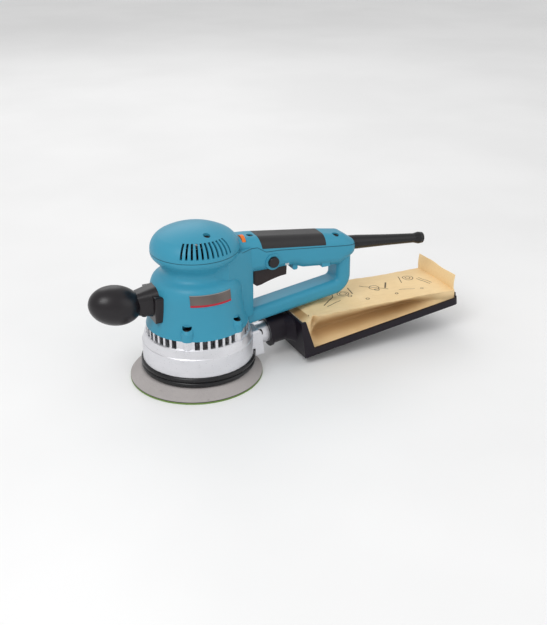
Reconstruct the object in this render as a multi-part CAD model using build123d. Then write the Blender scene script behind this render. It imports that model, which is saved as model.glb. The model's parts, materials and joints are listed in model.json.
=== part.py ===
from build123d import *
import os
from math import atan2, cos, degrees, radians, sin

# Orbital sander: front knob towards -X, D-shaped handle and dust bag towards +X, +Z up.
# Lengths are in millimetres. The tool is drawn on its motor axis and then moved half an
# orbit along X, so that the row's origin is the centre of the pad's sanding face.

# ------------------------------------------------------------------ pad
PAD_DIAMETER = 150.0
ORBIT_DIAMETER = 5.5
HOOK_THICKNESS = 1.8
FOAM_EDGE_HEIGHT = 1.4
FOAM_TOP_Z = 12.6
FOAM_TOP_RADIUS = 62.0
DUST_HOLE_CIRCLE = 80.0
DUST_HOLE_RADIUS = 5.0
DUST_HOLE_COUNT = 6
PAD_CENTRE_HOLE_RADIUS = 11.0
BACKING_RADIUS = 52.0
BACKING_THICKNESS = 4.0
PAD_BOLT_RADIUS = 4.0
PAD_BOLT_HEAD_RADIUS = 7.0
PAD_BOLT_HEAD_HEIGHT = 5.0
PAD_WASHER_RADIUS = 10.0
PAD_WASHER_THICKNESS = 2.0

# ------------------------------------------------------------------ fits
RUNNING_CLEARANCE = 0.05
MOVING_GAP = 0.5
SCREW_HOLE_CLEARANCE = 0.1

# ------------------------------------------------------------------ spindle, bearings and shaft
PAD_BEARING_BORE = 15.0
PAD_BEARING_OUTSIDE = 32.0
PAD_BEARING_WIDTH = 9.0
PAD_BEARING_Z = 22.0
LOWER_BEARING_BORE = 17.0
LOWER_BEARING_OUTSIDE = 35.0
LOWER_BEARING_WIDTH = 10.0
LOWER_BEARING_Z = 46.0
TOP_BEARING_BORE = 8.0
TOP_BEARING_OUTSIDE = 22.0
TOP_BEARING_WIDTH = 7.0
TOP_BEARING_Z = 146.0
ECCENTRIC_RADIUS = 21.0
ECCENTRIC_TOP_Z = 38.0
WEIGHT_RADIUS = 31.0
WEIGHT_ANGLE = 120.0
SPINDLE_FLANGE_RADIUS = 13.0
SPINDLE_FLANGE_THICKNESS = 3.5

# ------------------------------------------------------------------ motor
ROTOR_CORE_RADIUS = 24.0
ROTOR_CORE_Z = (80.0, 114.0)
AIR_GAP = 0.6
STATOR_RADIUS = 36.0
SHAFT_RADIUS = 7.0
COMMUTATOR_RADIUS = 14.0
COMMUTATOR_Z = (124.0, 138.0)
BRUSH_LENGTH = 13.0
BRUSH_WIDTH = 6.5
BRUSH_HEIGHT = 9.0
BRUSH_HOLDER_WALL = 1.2
COOLING_FAN_RADIUS = 47.0
COOLING_FAN_Z = (58.5, 70.0)
COOLING_FAN_BLADES = 14
DUST_FAN_RADIUS = 50.0
DUST_FAN_BLADES = 9
DUST_FAN_Z = (23.5, 38.0)
BLADE_THICKNESS = 1.6
FAN_CHAMBER_RADIUS = COOLING_FAN_RADIUS + 1.5
BAFFLE_THICKNESS = 2.0
BAFFLE_HOLE_RADIUS = 30.0
BAFFLE_RADIUS = FAN_CHAMBER_RADIUS - 0.5

# ------------------------------------------------------------------ fan housing and dust skirt
CASTING_RADIUS = 62.2
CASTING_TOP_RADIUS = 58.9
CASTING_WALL = 3.2
CASTING_BOTTOM_Z = 25.0
CASTING_STEP_Z = 46.0
CASTING_STEP = 0.8
SLOT_BOTTOM_Z = 55.5
CASTING_TOP_Z = 65.6
RIB_RADIUS = 57.0
SLOT_PITCH = 8.5
SLOT_WIDTH = 5.6
FLOOR_Z = (41.0, 45.0)
BOSS_ANGLE = 32.5
BOSS_CIRCLE_RADIUS = 52.4
BOSS_RADIUS = 6.4
BOSS_BOTTOM_Z = 49.0
SKIRT_BOTTOM_Z = 13.1
SKIRT_BEAD_RADIUS = 3.1
SKIRT_OUTER_RADIUS = 64.6
SKIRT_INNER_RADIUS = 57.5

# ------------------------------------------------------------------ dust outlet, tilted up to the rear
OUTLET_TILT = 7.5
OUTLET_POINT = (82.0, 0.0, 33.0)
PIPE_RADIUS = 12.5
PIPE_BORE_RADIUS = 10.3
PIPE_END = 15.0
FLANGE_X = (-25.0, -11.5)
FLANGE_HALF_WIDTH = 22.0
FLANGE_HALF_HEIGHT = 16.5
NOZZLE_SCREW_LENGTH = 11.0

# ------------------------------------------------------------------ bag holder, in the outlet's tilted frame
COLLAR_RADIUS = 17.0
COLLAR_RIM_RADIUS = 18.8
COLLAR_X = (2.0, 29.0)
TRAY_X = (30.0, 243.0)
TRAY_HALF_WIDTH = 42.0
TRAY_FLOOR_Z = -28.0
TRAY_WALL = 2.4
TRAY_RAIL_HEIGHT = 9.0
TRAY_INNER_ROUNDING = 4.0
TRAY_FRONT_TOP_Z = 18.0
TRAY_REAR_TOP_Z = -15.0
CARD_THICKNESS = 2.0
CARD_HOLE_RADIUS = 12.0
BAG_FRONT_TOP_Z = 17.5
BAG_REAR_TOP_Z = -10.0
BAG_WALL = 1.2
FLAP_TOP_Z = 10.6

# ------------------------------------------------------------------ casings
CASE_WALL = 3.0
LIP_RADIUS = 48.5
SEAM_Z = 151.0
DOME_BASE_Z = 152.3
DOME_HEIGHT = 26.5
DOME_CROWN_RADIUS = 80.0
# the motor housing's outline: radius and height from the casting up to the dome's lip
HOUSING_OUTLINE = [
    (57.0, CASTING_TOP_Z),
    (53.4, 80.0),
    (51.4, 98.0),
    (50.0, 113.0),
    (46.4, 120.5),
    (38.8, 126.5),
    (37.6, 132.0),
    (40.6, 138.0),
    (47.0, 145.0),
    (LIP_RADIUS, SEAM_Z),
]
VENT_COUNT = 11
VENT_ANGLES = (-38.0, 31.0)
VENT_Z = (155.5, 169.8)
VENT_WIDTH = 2.4
PLATE_SIZE = (46.0, 12.5)
PLATE_CENTRE = (-1.0, 110.0)
PLATE_THICKNESS = 0.7
DOME_SCREW = (4.0, 27.0)

# ------------------------------------------------------------------ D-shaped handle, drooping to the rear
GRIP_HALF_WIDTH = 19.0
GRIP_ROUNDING = 12.0
GRIP_LOW_Z = 115.0
# side view of the upper bar: its two front corners lie inside the dome, the others are rounded
GRIP_FRONT = [(34.0, GRIP_LOW_Z), (34.0, 159.0), (63.0, 157.0)]
GRIP_CORNERS = [(150.0, 146.3), (179.0, 141.6), (194.0, 131.5), (194.0, 117.0), (172.0, 105.0), (126.0, 109.8),
                (112.0, GRIP_LOW_Z)]
GRIP_CORNER_RADIUS = 9.0
HOOK_LIP_X = (112.5, 118.5)
HOOK_LIP_Z = 109.5
BAR_WIDTH = 30.0
BAR_DEPTH = 18.0
BAR_ROUNDING = 6.5
BAR_START = (54.0, 60.2)
BAR_CORNER = (180.0, 78.4)
BAR_TOP = (179.5, 125.0)
BAR_BEND = 14.0
BAR_CHAMBER_X = 68.0
THROAT_X = (0.0, 62.5)
THROAT_SIDE = (24.0, 37.0)
THROAT_ROOT_HALF_WIDTH = 17.0
THROAT_ROUNDING = 6.5
THROAT_BOTTOM_Z = 67.0
THROAT_TOP_Z = 148.0
HANDLE_SEAM = [(44.0, 146.5), (66.0, 146.5), (76.4, 139.6), (94.0, 139.0), (198.0, 128.2)]
INLAY_X = (72.0, 151.5)
INLAY_EDGE_Z = (144.0, 135.0)
INLAY_THICKNESS = 1.8

# ------------------------------------------------------------------ trigger, lock button and dial
TRIGGER_PIVOT = (103.0, 121.0)
TRIGGER_PIN_RADIUS = 2.5
TRIGGER_HALF_WIDTH = 9.0
TRIGGER_SIDE_GAP = 0.6
TRIGGER_OUTLINE_LOW = [(66.5, 119.0), (66.5, 98.4), (69.5, 96.2), (75.0, 97.0)]
TRIGGER_OUTLINE_REAR = [(98.0, 103.2), (106.2, 104.0), (107.3, 125.0), (98.7, 125.0), (98.0, 119.0)]
SWITCH_X = (76.0, 114.0)
SWITCH_Z = (126.5, 138.0)
SWITCH_HALF_WIDTH = 11.5
BUTTON_CENTRE = (84.8, 126.8)
BUTTON_RADIUS = 6.2
BUTTON_BOSS_RADIUS = 9.2
BUTTON_COLLAR = 1.2
BUTTON_TRAVEL = 3.0
DIAL_CENTRE = (52.0, -7.2, 151.2)
DIAL_RADIUS = 8.4
DIAL_THICKNESS = 4.0
DIAL_SHAFT_RADIUS = 2.0
BOARD_X = (44.2, 58.0)
BOARD_Z = (140.0, 141.6)
TRIGGER_SLOT_X = (63.0, 108.8)
TRIGGER_SPRING_PLACE = (94.6, 119.2)

# ------------------------------------------------------------------ cord guard, drooping to the rear
GUARD_ROOT = (186.0, 0.0, 126.0)
GUARD_DROOP = 6.0
GUARD_LENGTH = 108.0
GUARD_ROOT_RADIUS = 8.2
GUARD_MID_RADIUS = 6.6
GUARD_BEAD_RADIUS = 7.2
GUARD_BORE_RADIUS = 3.4
GUARD_FLANGE_RADIUS = 10.0
GUARD_FLANGE_X = (-4.0, -1.0)
CLAMP_X = (148.0, 158.0)
CLAMP_Z = (118.0, 121.5)

# ------------------------------------------------------------------ front knob
KNOB_CENTRE = (-92.0, 0.0, 101.0)
KNOB_RADIUS = 21.8
KNOB_FRONT_LENGTH = 29.5
KNOB_REAR_LENGTH = 29.0
KNOB_TILT = 14.0
KNOB_WALL = 3.0
ARM_HALF_SIZE = (10.0, 10.5)
ARM_ROUNDING = 6.0
ARM_FLARE = 14.0
ARM_UNDERSIDE_Z = 85.0
BASE_HALF_WIDTH = 23.0
BASE_Z = (80.0, 110.0)
BASE_FRONT_X = -55.0
KNOB_BOLT_RADIUS = 4.0

# ------------------------------------------------------------------ screws
CASE_SCREW_RADIUS = 2.4
CASE_SCREW_HEAD_RADIUS = 4.6
CASE_SCREW_HEAD_HEIGHT = 4.0
CASE_SCREW_RECESS = 7.5
CASE_SCREW_HOOD = 1.6
CASE_SCREW_HEAD_Z = 75.0
CASE_SCREW_END_Z = 52.0
SMALL_SCREW_RADIUS = 1.7
SMALL_SCREW_HEAD_RADIUS = 3.4
SMALL_SCREW_HEAD_HEIGHT = 2.4
DOME_SCREW_SEAT_Z = 170.3
HANDLE_SCREWS = [(63.0, -4.5, 153.6), (168.0, -10.0, 139.6)]
HANDLE_SCREW_LENGTH = 16.0


# ------------------------------------------------------------------ helpers
def disc(radius, z_low, z_high, x=0.0, y=0.0):
    """A round bar standing on z_low."""
    height = z_high - z_low
    return Pos(x, y, (z_low + z_high) / 2) * Cylinder(radius, height)


def ring(inner, outer, z_low, z_high):
    """A flat ring round the motor axis."""
    return disc(outer, z_low, z_high) - disc(inner, z_low - 1, z_high + 1)


def block(x_span, y_span, z_span):
    """A box between two values on each axis."""
    size = [high - low for low, high in (x_span, y_span, z_span)]
    centre = [(low + high) / 2 for low, high in (x_span, y_span, z_span)]
    return Pos(*centre) * Box(*size)


def side_face(points):
    """A face in the XZ plane from its corner points."""
    return Plane.XZ * make_face(Polyline(*points, close=True))


def side_plate(points, half_width):
    """A plate from its outline in the XZ plane, equally thick to both sides."""
    return extrude(side_face(points), amount=half_width, both=True)


def turned(points):
    """A solid of revolution about Z from its outline of radius and height."""
    return revolve(side_face(points), Axis.Z)


def around(angle, shape):
    """The shape turned about the motor axis."""
    return Rot(0, 0, angle) * shape


def side_edges(solid, half_width):
    """The edges that lie on the two outer faces of a plate."""
    return [edge for edge in solid.edges() if abs(abs(edge.center().Y) - half_width) < 0.01]


def pan_screw(head_radius, head_height, shank_radius, shank_length, depth=1.4):
    """A screw standing head up, with the head's seat at z = 0 and a cross recess."""
    head = disc(head_radius, 0, head_height)
    head = fillet(head.edges().group_by(Axis.Z)[-1], head_height * 0.4)
    cross = block((-head_radius * 0.6, head_radius * 0.6), (-0.5, 0.5), (head_height - depth, head_height + 1))
    head = head - cross - Rot(0, 0, 90) * cross
    return head + disc(shank_radius, -shank_length, 0)


def bearing(bore, outside, width, z_low, x=0.0):
    """A ball bearing: two rings, a cage of balls and no overlap between them."""
    bore_radius = bore / 2
    outer_radius = outside / 2
    wall = (outer_radius - bore_radius) * 0.28
    middle = (bore_radius + outer_radius) / 2
    ball_radius = (outer_radius - bore_radius) / 2 - wall - 0.02
    pieces = [ring(bore_radius, bore_radius + wall, 0, width),
              ring(outer_radius - wall, outer_radius, 0, width)]
    count = int(middle * 2 * 3.14 / (ball_radius * 2.5))
    for index in range(count):
        pieces.append(Rot(0, 0, index * 360 / count) * Pos(middle, 0, width / 2) * Sphere(ball_radius))
    return Pos(x, 0, z_low) * Compound(children=pieces)


def coil(radius, wire_radius, length, turns):
    """A closely modelled compression spring standing on z = 0."""
    path = Helix(pitch=(length - 2 * wire_radius) / turns, height=length - 2 * wire_radius, radius=radius)
    start = path @ 0
    section = Plane(origin=start, z_dir=path % 0) * Circle(wire_radius)
    return Pos(0, 0, wire_radius) * sweep(section, path=path)


# ------------------------------------------------------------------ pad
def dust_holes(z_low, z_high):
    holes = [around(index * 360 / DUST_HOLE_COUNT, disc(DUST_HOLE_RADIUS, z_low, z_high, DUST_HOLE_CIRCLE / 2))
             for index in range(DUST_HOLE_COUNT)]
    return Compound(children=holes)


def make_hook_face():
    face = disc(PAD_DIAMETER / 2, 0, HOOK_THICKNESS)
    return face - disc(PAD_CENTRE_HOLE_RADIUS, -1, 3) - dust_holes(-1, 3)


def make_pad_foam():
    edge = PAD_DIAMETER / 2
    foam = turned([(0, HOOK_THICKNESS), (edge, HOOK_THICKNESS), (edge, HOOK_THICKNESS + FOAM_EDGE_HEIGHT),
                   (FOAM_TOP_RADIUS, FOAM_TOP_Z), (0, FOAM_TOP_Z)])
    return foam - disc(PAD_CENTRE_HOLE_RADIUS, 0, FOAM_TOP_Z + 1) - dust_holes(0, FOAM_TOP_Z + 1)


def backing_top():
    return FOAM_TOP_Z + BACKING_THICKNESS


def make_backing_plate():
    plate = disc(BACKING_RADIUS, FOAM_TOP_Z, backing_top())
    plate = plate - disc(PAD_BOLT_RADIUS + SCREW_HOLE_CLEARANCE, FOAM_TOP_Z - 1, backing_top() + 1)
    return plate - dust_holes(FOAM_TOP_Z - 1, backing_top() + 1)


def make_pad_washer():
    return ring(PAD_BOLT_RADIUS + SCREW_HOLE_CLEARANCE, PAD_WASHER_RADIUS, FOAM_TOP_Z - PAD_WASHER_THICKNESS,
                FOAM_TOP_Z)


def make_pad_bolt():
    seat = FOAM_TOP_Z - PAD_WASHER_THICKNESS
    head = disc(PAD_BOLT_HEAD_RADIUS, seat - PAD_BOLT_HEAD_HEIGHT, seat)
    socket = Pos(0, 0, seat - PAD_BOLT_HEAD_HEIGHT) * extrude(RegularPolygon(3.6, 6), amount=3)
    return head - socket + disc(PAD_BOLT_RADIUS, seat, backing_top() + 12)


def make_pad_spindle():
    bore_radius = PAD_BEARING_BORE / 2 - RUNNING_CLEARANCE
    flange_top = backing_top() + SPINDLE_FLANGE_THICKNESS
    spindle = disc(SPINDLE_FLANGE_RADIUS, backing_top(), flange_top)
    spindle = spindle + disc(bore_radius, flange_top, PAD_BEARING_Z + PAD_BEARING_WIDTH + 1)
    return spindle - disc(PAD_BOLT_RADIUS, backing_top() - 1, backing_top() + 12)


# ------------------------------------------------------------------ rotor
def orbit_radius():
    return ORBIT_DIAMETER / 2


def pad_bearing():
    return bearing(PAD_BEARING_BORE, PAD_BEARING_OUTSIDE, PAD_BEARING_WIDTH, PAD_BEARING_Z, -orbit_radius())


def make_eccentric():
    boss_radius = LOWER_BEARING_BORE / 2 + 2.5
    body = disc(ECCENTRIC_RADIUS, PAD_BEARING_Z, ECCENTRIC_TOP_Z)
    body = body + disc(boss_radius, ECCENTRIC_TOP_Z, LOWER_BEARING_Z)
    pocket_top = PAD_BEARING_Z + PAD_BEARING_WIDTH
    body = body - disc(PAD_BEARING_OUTSIDE / 2, PAD_BEARING_Z - 1, pocket_top, -orbit_radius())
    body = body - disc(PAD_BEARING_BORE / 2 + 2, pocket_top - 1, pocket_top + 2, -orbit_radius())
    return body - disc(SHAFT_RADIUS, pocket_top + 3, LOWER_BEARING_Z + 1)


def make_balance_weight():
    sector = ring(ECCENTRIC_RADIUS, WEIGHT_RADIUS, PAD_BEARING_Z + 3, DUST_FAN_Z[1] - 4)
    reach = WEIGHT_RADIUS * 2
    half = radians(WEIGHT_ANGLE / 2)
    wedge = make_face(Polyline((0, 0), (reach * cos(half), reach * sin(half)), (reach * 2, 0),
                               (reach * cos(half), -reach * sin(half)), close=True))
    return sector & extrude(wedge, amount=CASTING_TOP_Z)


def fan_blades(count, inner, outer, z_low, z_high, sweep_angle):
    blade = block((inner, outer), (-BLADE_THICKNESS / 2, BLADE_THICKNESS / 2), (z_low, z_high))
    blade = Pos(inner, 0, 0) * Rot(0, 0, sweep_angle) * Pos(-inner, 0, 0) * blade
    return [around(index * 360 / count, blade) for index in range(count)]


def make_dust_fan():
    fan = ring(ECCENTRIC_RADIUS, DUST_FAN_RADIUS, DUST_FAN_Z[1] - 2, DUST_FAN_Z[1])
    blades = fan_blades(DUST_FAN_BLADES, WEIGHT_RADIUS + 2, DUST_FAN_RADIUS - 0.5, DUST_FAN_Z[0],
                        DUST_FAN_Z[1] - 2, 12)
    for blade in blades:
        fan = fan + blade
    return fan


def make_motor_shaft():
    shaft = disc(SHAFT_RADIUS, PAD_BEARING_Z + PAD_BEARING_WIDTH + 3, COMMUTATOR_Z[1] + 2)
    shaft = shaft + disc(LOWER_BEARING_BORE / 2 - RUNNING_CLEARANCE, LOWER_BEARING_Z,
                         LOWER_BEARING_Z + LOWER_BEARING_WIDTH + 1)
    end_radius = TOP_BEARING_BORE / 2 - RUNNING_CLEARANCE
    return shaft + disc(end_radius, COMMUTATOR_Z[1], TOP_BEARING_Z + TOP_BEARING_WIDTH + 1)


def make_cooling_fan():
    hub_radius = SHAFT_RADIUS + 5
    fan = ring(SHAFT_RADIUS, hub_radius, *COOLING_FAN_Z)
    fan = fan + ring(SHAFT_RADIUS, COOLING_FAN_RADIUS, COOLING_FAN_Z[1] - 2, COOLING_FAN_Z[1])
    for blade in fan_blades(COOLING_FAN_BLADES, hub_radius + 8, COOLING_FAN_RADIUS - 0.5, COOLING_FAN_Z[0],
                            COOLING_FAN_Z[1] - 2, 8):
        fan = fan + blade
    return fan


def make_rotor_core():
    core = ring(SHAFT_RADIUS, ROTOR_CORE_RADIUS, *ROTOR_CORE_Z)
    slot = block((ROTOR_CORE_RADIUS - 8, ROTOR_CORE_RADIUS + 1), (-1.2, 1.2),
                 (ROTOR_CORE_Z[0] - 1, ROTOR_CORE_Z[1] + 1))
    for index in range(12):
        core = core - around(index * 30, slot)
    return core


def make_rotor_windings():
    low, high = ROTOR_CORE_Z
    lower = ring(SHAFT_RADIUS + 1.5, ROTOR_CORE_RADIUS - 2, low - 8, low)
    upper = ring(SHAFT_RADIUS + 1.5, ROTOR_CORE_RADIUS - 2, high, high + 8)
    lower = fillet(lower.edges().group_by(Axis.Z)[0], 2.5)
    upper = fillet(upper.edges().group_by(Axis.Z)[-1], 2.5)
    return Compound(children=[lower, upper])


def make_commutator():
    drum = ring(SHAFT_RADIUS, COMMUTATOR_RADIUS, *COMMUTATOR_Z)
    slit = block((COMMUTATOR_RADIUS - 1, COMMUTATOR_RADIUS + 1), (-0.3, 0.3),
                 (COMMUTATOR_Z[0] - 1, COMMUTATOR_Z[1] + 1))
    for index in range(24):
        drum = drum - around(index * 15, slit)
    return drum


# ------------------------------------------------------------------ stator and brushes
def make_stator_core():
    bore = ROTOR_CORE_RADIUS + AIR_GAP
    core = ring(bore, STATOR_RADIUS, *ROTOR_CORE_Z)
    for side in (-1, 1):
        core = core - block((side * STATOR_RADIUS - 3, side * STATOR_RADIUS + 3), (-40, 40), (0, 200))
    return core


def make_field_windings():
    low, high = ROTOR_CORE_Z
    pieces = []
    for side in (-1, 1):
        for z_span in ((low - 6, low), (high, high + 6)):
            arc = ring(ROTOR_CORE_RADIUS + AIR_GAP, STATOR_RADIUS - 4, *z_span)
            pieces.append(arc & block((-14, 14), (side * 30 - 12, side * 30 + 12), (0, 200)))
    return Compound(children=pieces)


def brush_z():
    return (COMMUTATOR_Z[0] + COMMUTATOR_Z[1]) / 2


def brush_box(wall, start, end):
    half_x = BRUSH_WIDTH / 2 + wall
    half_z = BRUSH_HEIGHT / 2 + wall
    return block((-half_x, half_x), (start, end), (brush_z() - half_z, brush_z() + half_z))


def both_sides(shape):
    """The shape and its mirror image on the other side of the tool."""
    return Compound(children=[shape, mirror(shape, Plane.XZ)])


def make_carbon_brushes():
    start = COMMUTATOR_RADIUS + RUNNING_CLEARANCE
    return both_sides(brush_box(0, start, start + BRUSH_LENGTH))


def make_brush_holders():
    start = COMMUTATOR_RADIUS + 2
    end = start + BRUSH_LENGTH + 5
    box = brush_box(BRUSH_HOLDER_WALL, start, end) - brush_box(0, start - 1, end - BRUSH_HOLDER_WALL)
    return both_sides(box)


def make_brush_springs():
    start = COMMUTATOR_RADIUS + RUNNING_CLEARANCE + BRUSH_LENGTH
    length = COMMUTATOR_RADIUS + 2 + BRUSH_LENGTH + 5 - BRUSH_HOLDER_WALL - start
    spring = Pos(0, start, brush_z()) * Rot(-90, 0, 0) * coil(2.2, 0.4, length, 4)
    return both_sides(spring)


def make_end_frame():
    frame = disc(34.0, TOP_BEARING_Z - 4, TOP_BEARING_Z)
    frame = frame + disc(TOP_BEARING_OUTSIDE / 2 + 3, TOP_BEARING_Z, TOP_BEARING_Z + TOP_BEARING_WIDTH)
    frame = frame - disc(TOP_BEARING_OUTSIDE / 2, TOP_BEARING_Z, TOP_BEARING_Z + TOP_BEARING_WIDTH + 1)
    frame = frame - disc(TOP_BEARING_BORE / 2 + 3, TOP_BEARING_Z - 5, TOP_BEARING_Z + 1)
    for angle in (45, 135, 225, 315):
        frame = frame - around(angle, disc(6, TOP_BEARING_Z - 5, TOP_BEARING_Z + 1, 23))
    for side in (-1, 1):
        pillar = disc(4.4, TOP_BEARING_Z, SEAM_Z + 6, DOME_SCREW[0], side * DOME_SCREW[1])
        frame = frame + pillar
        frame = frame - disc(SMALL_SCREW_RADIUS, TOP_BEARING_Z + 1, SEAM_Z + 8, DOME_SCREW[0],
                             side * DOME_SCREW[1])
    return frame


# ------------------------------------------------------------------ fan housing, skirt and outlet
def casting_outline(inset):
    """Radius and height of the casting's outer wall, from the bottom edge to the top."""
    return [(CASTING_RADIUS - inset, CASTING_BOTTOM_Z),
            (CASTING_RADIUS - inset, CASTING_STEP_Z),
            (CASTING_RADIUS - CASTING_STEP - inset, CASTING_STEP_Z + CASTING_STEP),
            (CASTING_TOP_RADIUS - inset, SLOT_BOTTOM_Z),
            (RIB_RADIUS - inset, SLOT_BOTTOM_Z + 1.5),
            (RIB_RADIUS - inset, CASTING_TOP_Z)]


def casting_body(inset):
    outline = casting_outline(inset)
    return turned([(0, CASTING_BOTTOM_Z)] + outline + [(0, CASTING_TOP_Z)])


def boss_places():
    """Centres of the four case screws, two on each side."""
    angles = [-90 - BOSS_ANGLE, -90 + BOSS_ANGLE, 90 - BOSS_ANGLE, 90 + BOSS_ANGLE]
    return [(BOSS_CIRCLE_RADIUS * cos(radians(angle)), BOSS_CIRCLE_RADIUS * sin(radians(angle)), angle)
            for angle in angles]


def slot_angles():
    """Angles of the exhaust slots, leaving out the screw bosses and the outlet."""
    angles = []
    count = int(360 / SLOT_PITCH)
    for index in range(count):
        angle = index * 360 / count
        near_boss = any(abs((angle - place[2] + 180) % 360 - 180) < 9 for place in boss_places())
        near_outlet = min(angle, 360 - angle) < 12
        if not near_boss and not near_outlet:
            angles.append(angle)
    return angles


def tilted(shape):
    """The shape moved from the outlet's own frame, X along the pipe, to the tool's frame."""
    return Pos(*OUTLET_POINT) * Rot(0, -OUTLET_TILT, 0) * shape


def along_x(radius, start, end):
    return Pos((start + end) / 2, 0, 0) * Rot(0, 90, 0) * Cylinder(radius, end - start)


def make_fan_housing():
    wall = casting_body(0) - casting_body(CASTING_WALL)
    floor = ring(LOWER_BEARING_OUTSIDE / 2 - 3, CASTING_RADIUS - CASTING_WALL, *FLOOR_Z)
    seat = disc(LOWER_BEARING_OUTSIDE / 2 + 3.5, FLOOR_Z[0], LOWER_BEARING_Z + LOWER_BEARING_WIDTH)
    seat = seat - disc(LOWER_BEARING_OUTSIDE / 2, LOWER_BEARING_Z, 80)
    seat = seat - disc(LOWER_BEARING_OUTSIDE / 2 - 3, FLOOR_Z[0] - 1, LOWER_BEARING_Z + 1)
    housing = wall + floor
    fin_foot = (CASTING_RADIUS - 2.6) / BOSS_CIRCLE_RADIUS
    fin_head = 1.02
    for x, y, angle in boss_places():
        boss = disc(BOSS_RADIUS, SLOT_BOTTOM_Z - 1, CASTING_TOP_Z, x, y)
        fin = loft([Pos(x * fin_foot, y * fin_foot, BOSS_BOTTOM_Z) * Circle(1.0),
                    Pos(x * fin_head, y * fin_head, SLOT_BOTTOM_Z) * Circle(BOSS_RADIUS + 0.8)])
        housing = housing + boss + fin
    housing = housing - disc(FAN_CHAMBER_RADIUS, FLOOR_Z[1], CASTING_TOP_Z + 1) + seat
    slot = block((RIB_RADIUS - 12, RIB_RADIUS + 6), (-SLOT_WIDTH / 2, SLOT_WIDTH / 2),
                 (SLOT_BOTTOM_Z + 0.8, CASTING_TOP_Z + 1))
    for angle in slot_angles():
        housing = housing - around(angle, slot)
    for x, y, angle in boss_places():
        housing = housing - disc(CASE_SCREW_RADIUS, CASE_SCREW_END_Z - 1, CASTING_TOP_Z + 1, x, y)
    for y, z in nozzle_screw_places():
        thread = Pos(0, y, z) * along_x(SMALL_SCREW_RADIUS, FLANGE_X[1] - NOZZLE_SCREW_LENGTH, 0)
        housing = housing - tilted(thread)
    return housing - tilted(along_x(PIPE_BORE_RADIUS, -40, 0))


def make_dust_skirt():
    bead = SKIRT_BEAD_RADIUS
    centre = SKIRT_OUTER_RADIUS - bead
    skirt = None
    for z in (SKIRT_BOTTOM_Z + bead, CASTING_BOTTOM_Z - bead):
        torus = Pos(0, 0, z) * Torus(centre, bead)
        skirt = torus if skirt is None else skirt + torus
    web = ring(SKIRT_INNER_RADIUS, centre, SKIRT_BOTTOM_Z + 1.2, CASTING_BOTTOM_Z)
    tongue = ring(SKIRT_INNER_RADIUS, CASTING_RADIUS - CASTING_WALL, CASTING_BOTTOM_Z, CASTING_BOTTOM_Z + 5)
    return skirt + web + tongue


def make_dust_nozzle():
    flange = block(FLANGE_X, (-FLANGE_HALF_WIDTH, FLANGE_HALF_WIDTH), (-FLANGE_HALF_HEIGHT, FLANGE_HALF_HEIGHT))
    flange = chamfer(flange.edges().filter_by(Axis.Y).group_by(Axis.Z)[-1], 3)
    flange = fillet(flange.edges().filter_by(Axis.X), 3)
    nozzle = flange + along_x(PIPE_RADIUS, FLANGE_X[1] - 1, PIPE_END)
    nozzle = nozzle - along_x(PIPE_BORE_RADIUS, FLANGE_X[0] - 1, PIPE_END + 1)
    for place in nozzle_screw_places():
        nozzle = nozzle - Pos(0, *place) * along_x(SMALL_SCREW_RADIUS + SCREW_HOLE_CLEARANCE, -40, 0)
    nozzle = tilted(nozzle)
    nozzle = nozzle - disc(CASTING_RADIUS, CASTING_BOTTOM_Z, 80)
    return nozzle - disc(SKIRT_OUTER_RADIUS + MOVING_GAP, 0, CASTING_BOTTOM_Z)


def nozzle_screw_places():
    reach_y = FLANGE_HALF_WIDTH - 5
    reach_z = FLANGE_HALF_HEIGHT - 6
    return [(side * reach_y, reach_z) for side in (-1, 1)]


def make_nozzle_screws():
    screws = []
    for y, z in nozzle_screw_places():
        screw = Rot(0, 90, 0) * pan_screw(SMALL_SCREW_HEAD_RADIUS, SMALL_SCREW_HEAD_HEIGHT, SMALL_SCREW_RADIUS,
                                           NOZZLE_SCREW_LENGTH)
        screws.append(tilted(Pos(FLANGE_X[1], y, z) * screw))
    return Compound(children=screws)


# ------------------------------------------------------------------ bag holder and paper bag
def make_bag_holder():
    outer = along_x(COLLAR_RADIUS, *COLLAR_X) + along_x(COLLAR_RIM_RADIUS, COLLAR_X[0], COLLAR_X[0] + 3)
    front_x = TRAY_X[0] + TRAY_WALL
    funnel = loft([Pos(COLLAR_X[1] - 8, 0, 0) * Rot(0, 90, 0) * Circle(COLLAR_RADIUS - 0.5),
                   Pos(TRAY_X[0], 0, 0) * Rot(0, 90, 0) * RectangleRounded(34, 50, 10)])
    front = block((TRAY_X[0], front_x), (-TRAY_HALF_WIDTH, TRAY_HALF_WIDTH), (TRAY_FLOOR_Z, TRAY_FRONT_TOP_Z))
    frame = front + outer + funnel
    rail_top = TRAY_FLOOR_Z + TRAY_RAIL_HEIGHT
    tray = block(TRAY_X, (-TRAY_HALF_WIDTH, TRAY_HALF_WIDTH), (TRAY_FLOOR_Z, rail_top))
    tray = fillet(tray.edges().filter_by(Axis.Z).group_by(Axis.X)[-1], TRAY_INNER_ROUNDING + 2)
    hollow = block((front_x, TRAY_X[1] - TRAY_WALL), (-TRAY_HALF_WIDTH + TRAY_WALL, TRAY_HALF_WIDTH - TRAY_WALL),
                   (TRAY_FLOOR_Z + TRAY_WALL, rail_top + 1))
    tray = tray - fillet(hollow.edges().filter_by(Axis.Z).group_by(Axis.X)[-1], TRAY_INNER_ROUNDING)
    rear = block((TRAY_X[1] - TRAY_WALL, TRAY_X[1]), (-TRAY_HALF_WIDTH + 6, TRAY_HALF_WIDTH - 6),
                 (rail_top, TRAY_REAR_TOP_Z))
    holder = frame + tray + rear + tray_cheeks() + tray_foot()
    holder = holder - along_x(PIPE_RADIUS + RUNNING_CLEARANCE, COLLAR_X[0] - 1, COLLAR_X[1] - 4)
    holder = holder - along_x(CARD_HOLE_RADIUS, COLLAR_X[1] - 5, front_x + 1)
    return tilted(holder - seal_ring())


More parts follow.
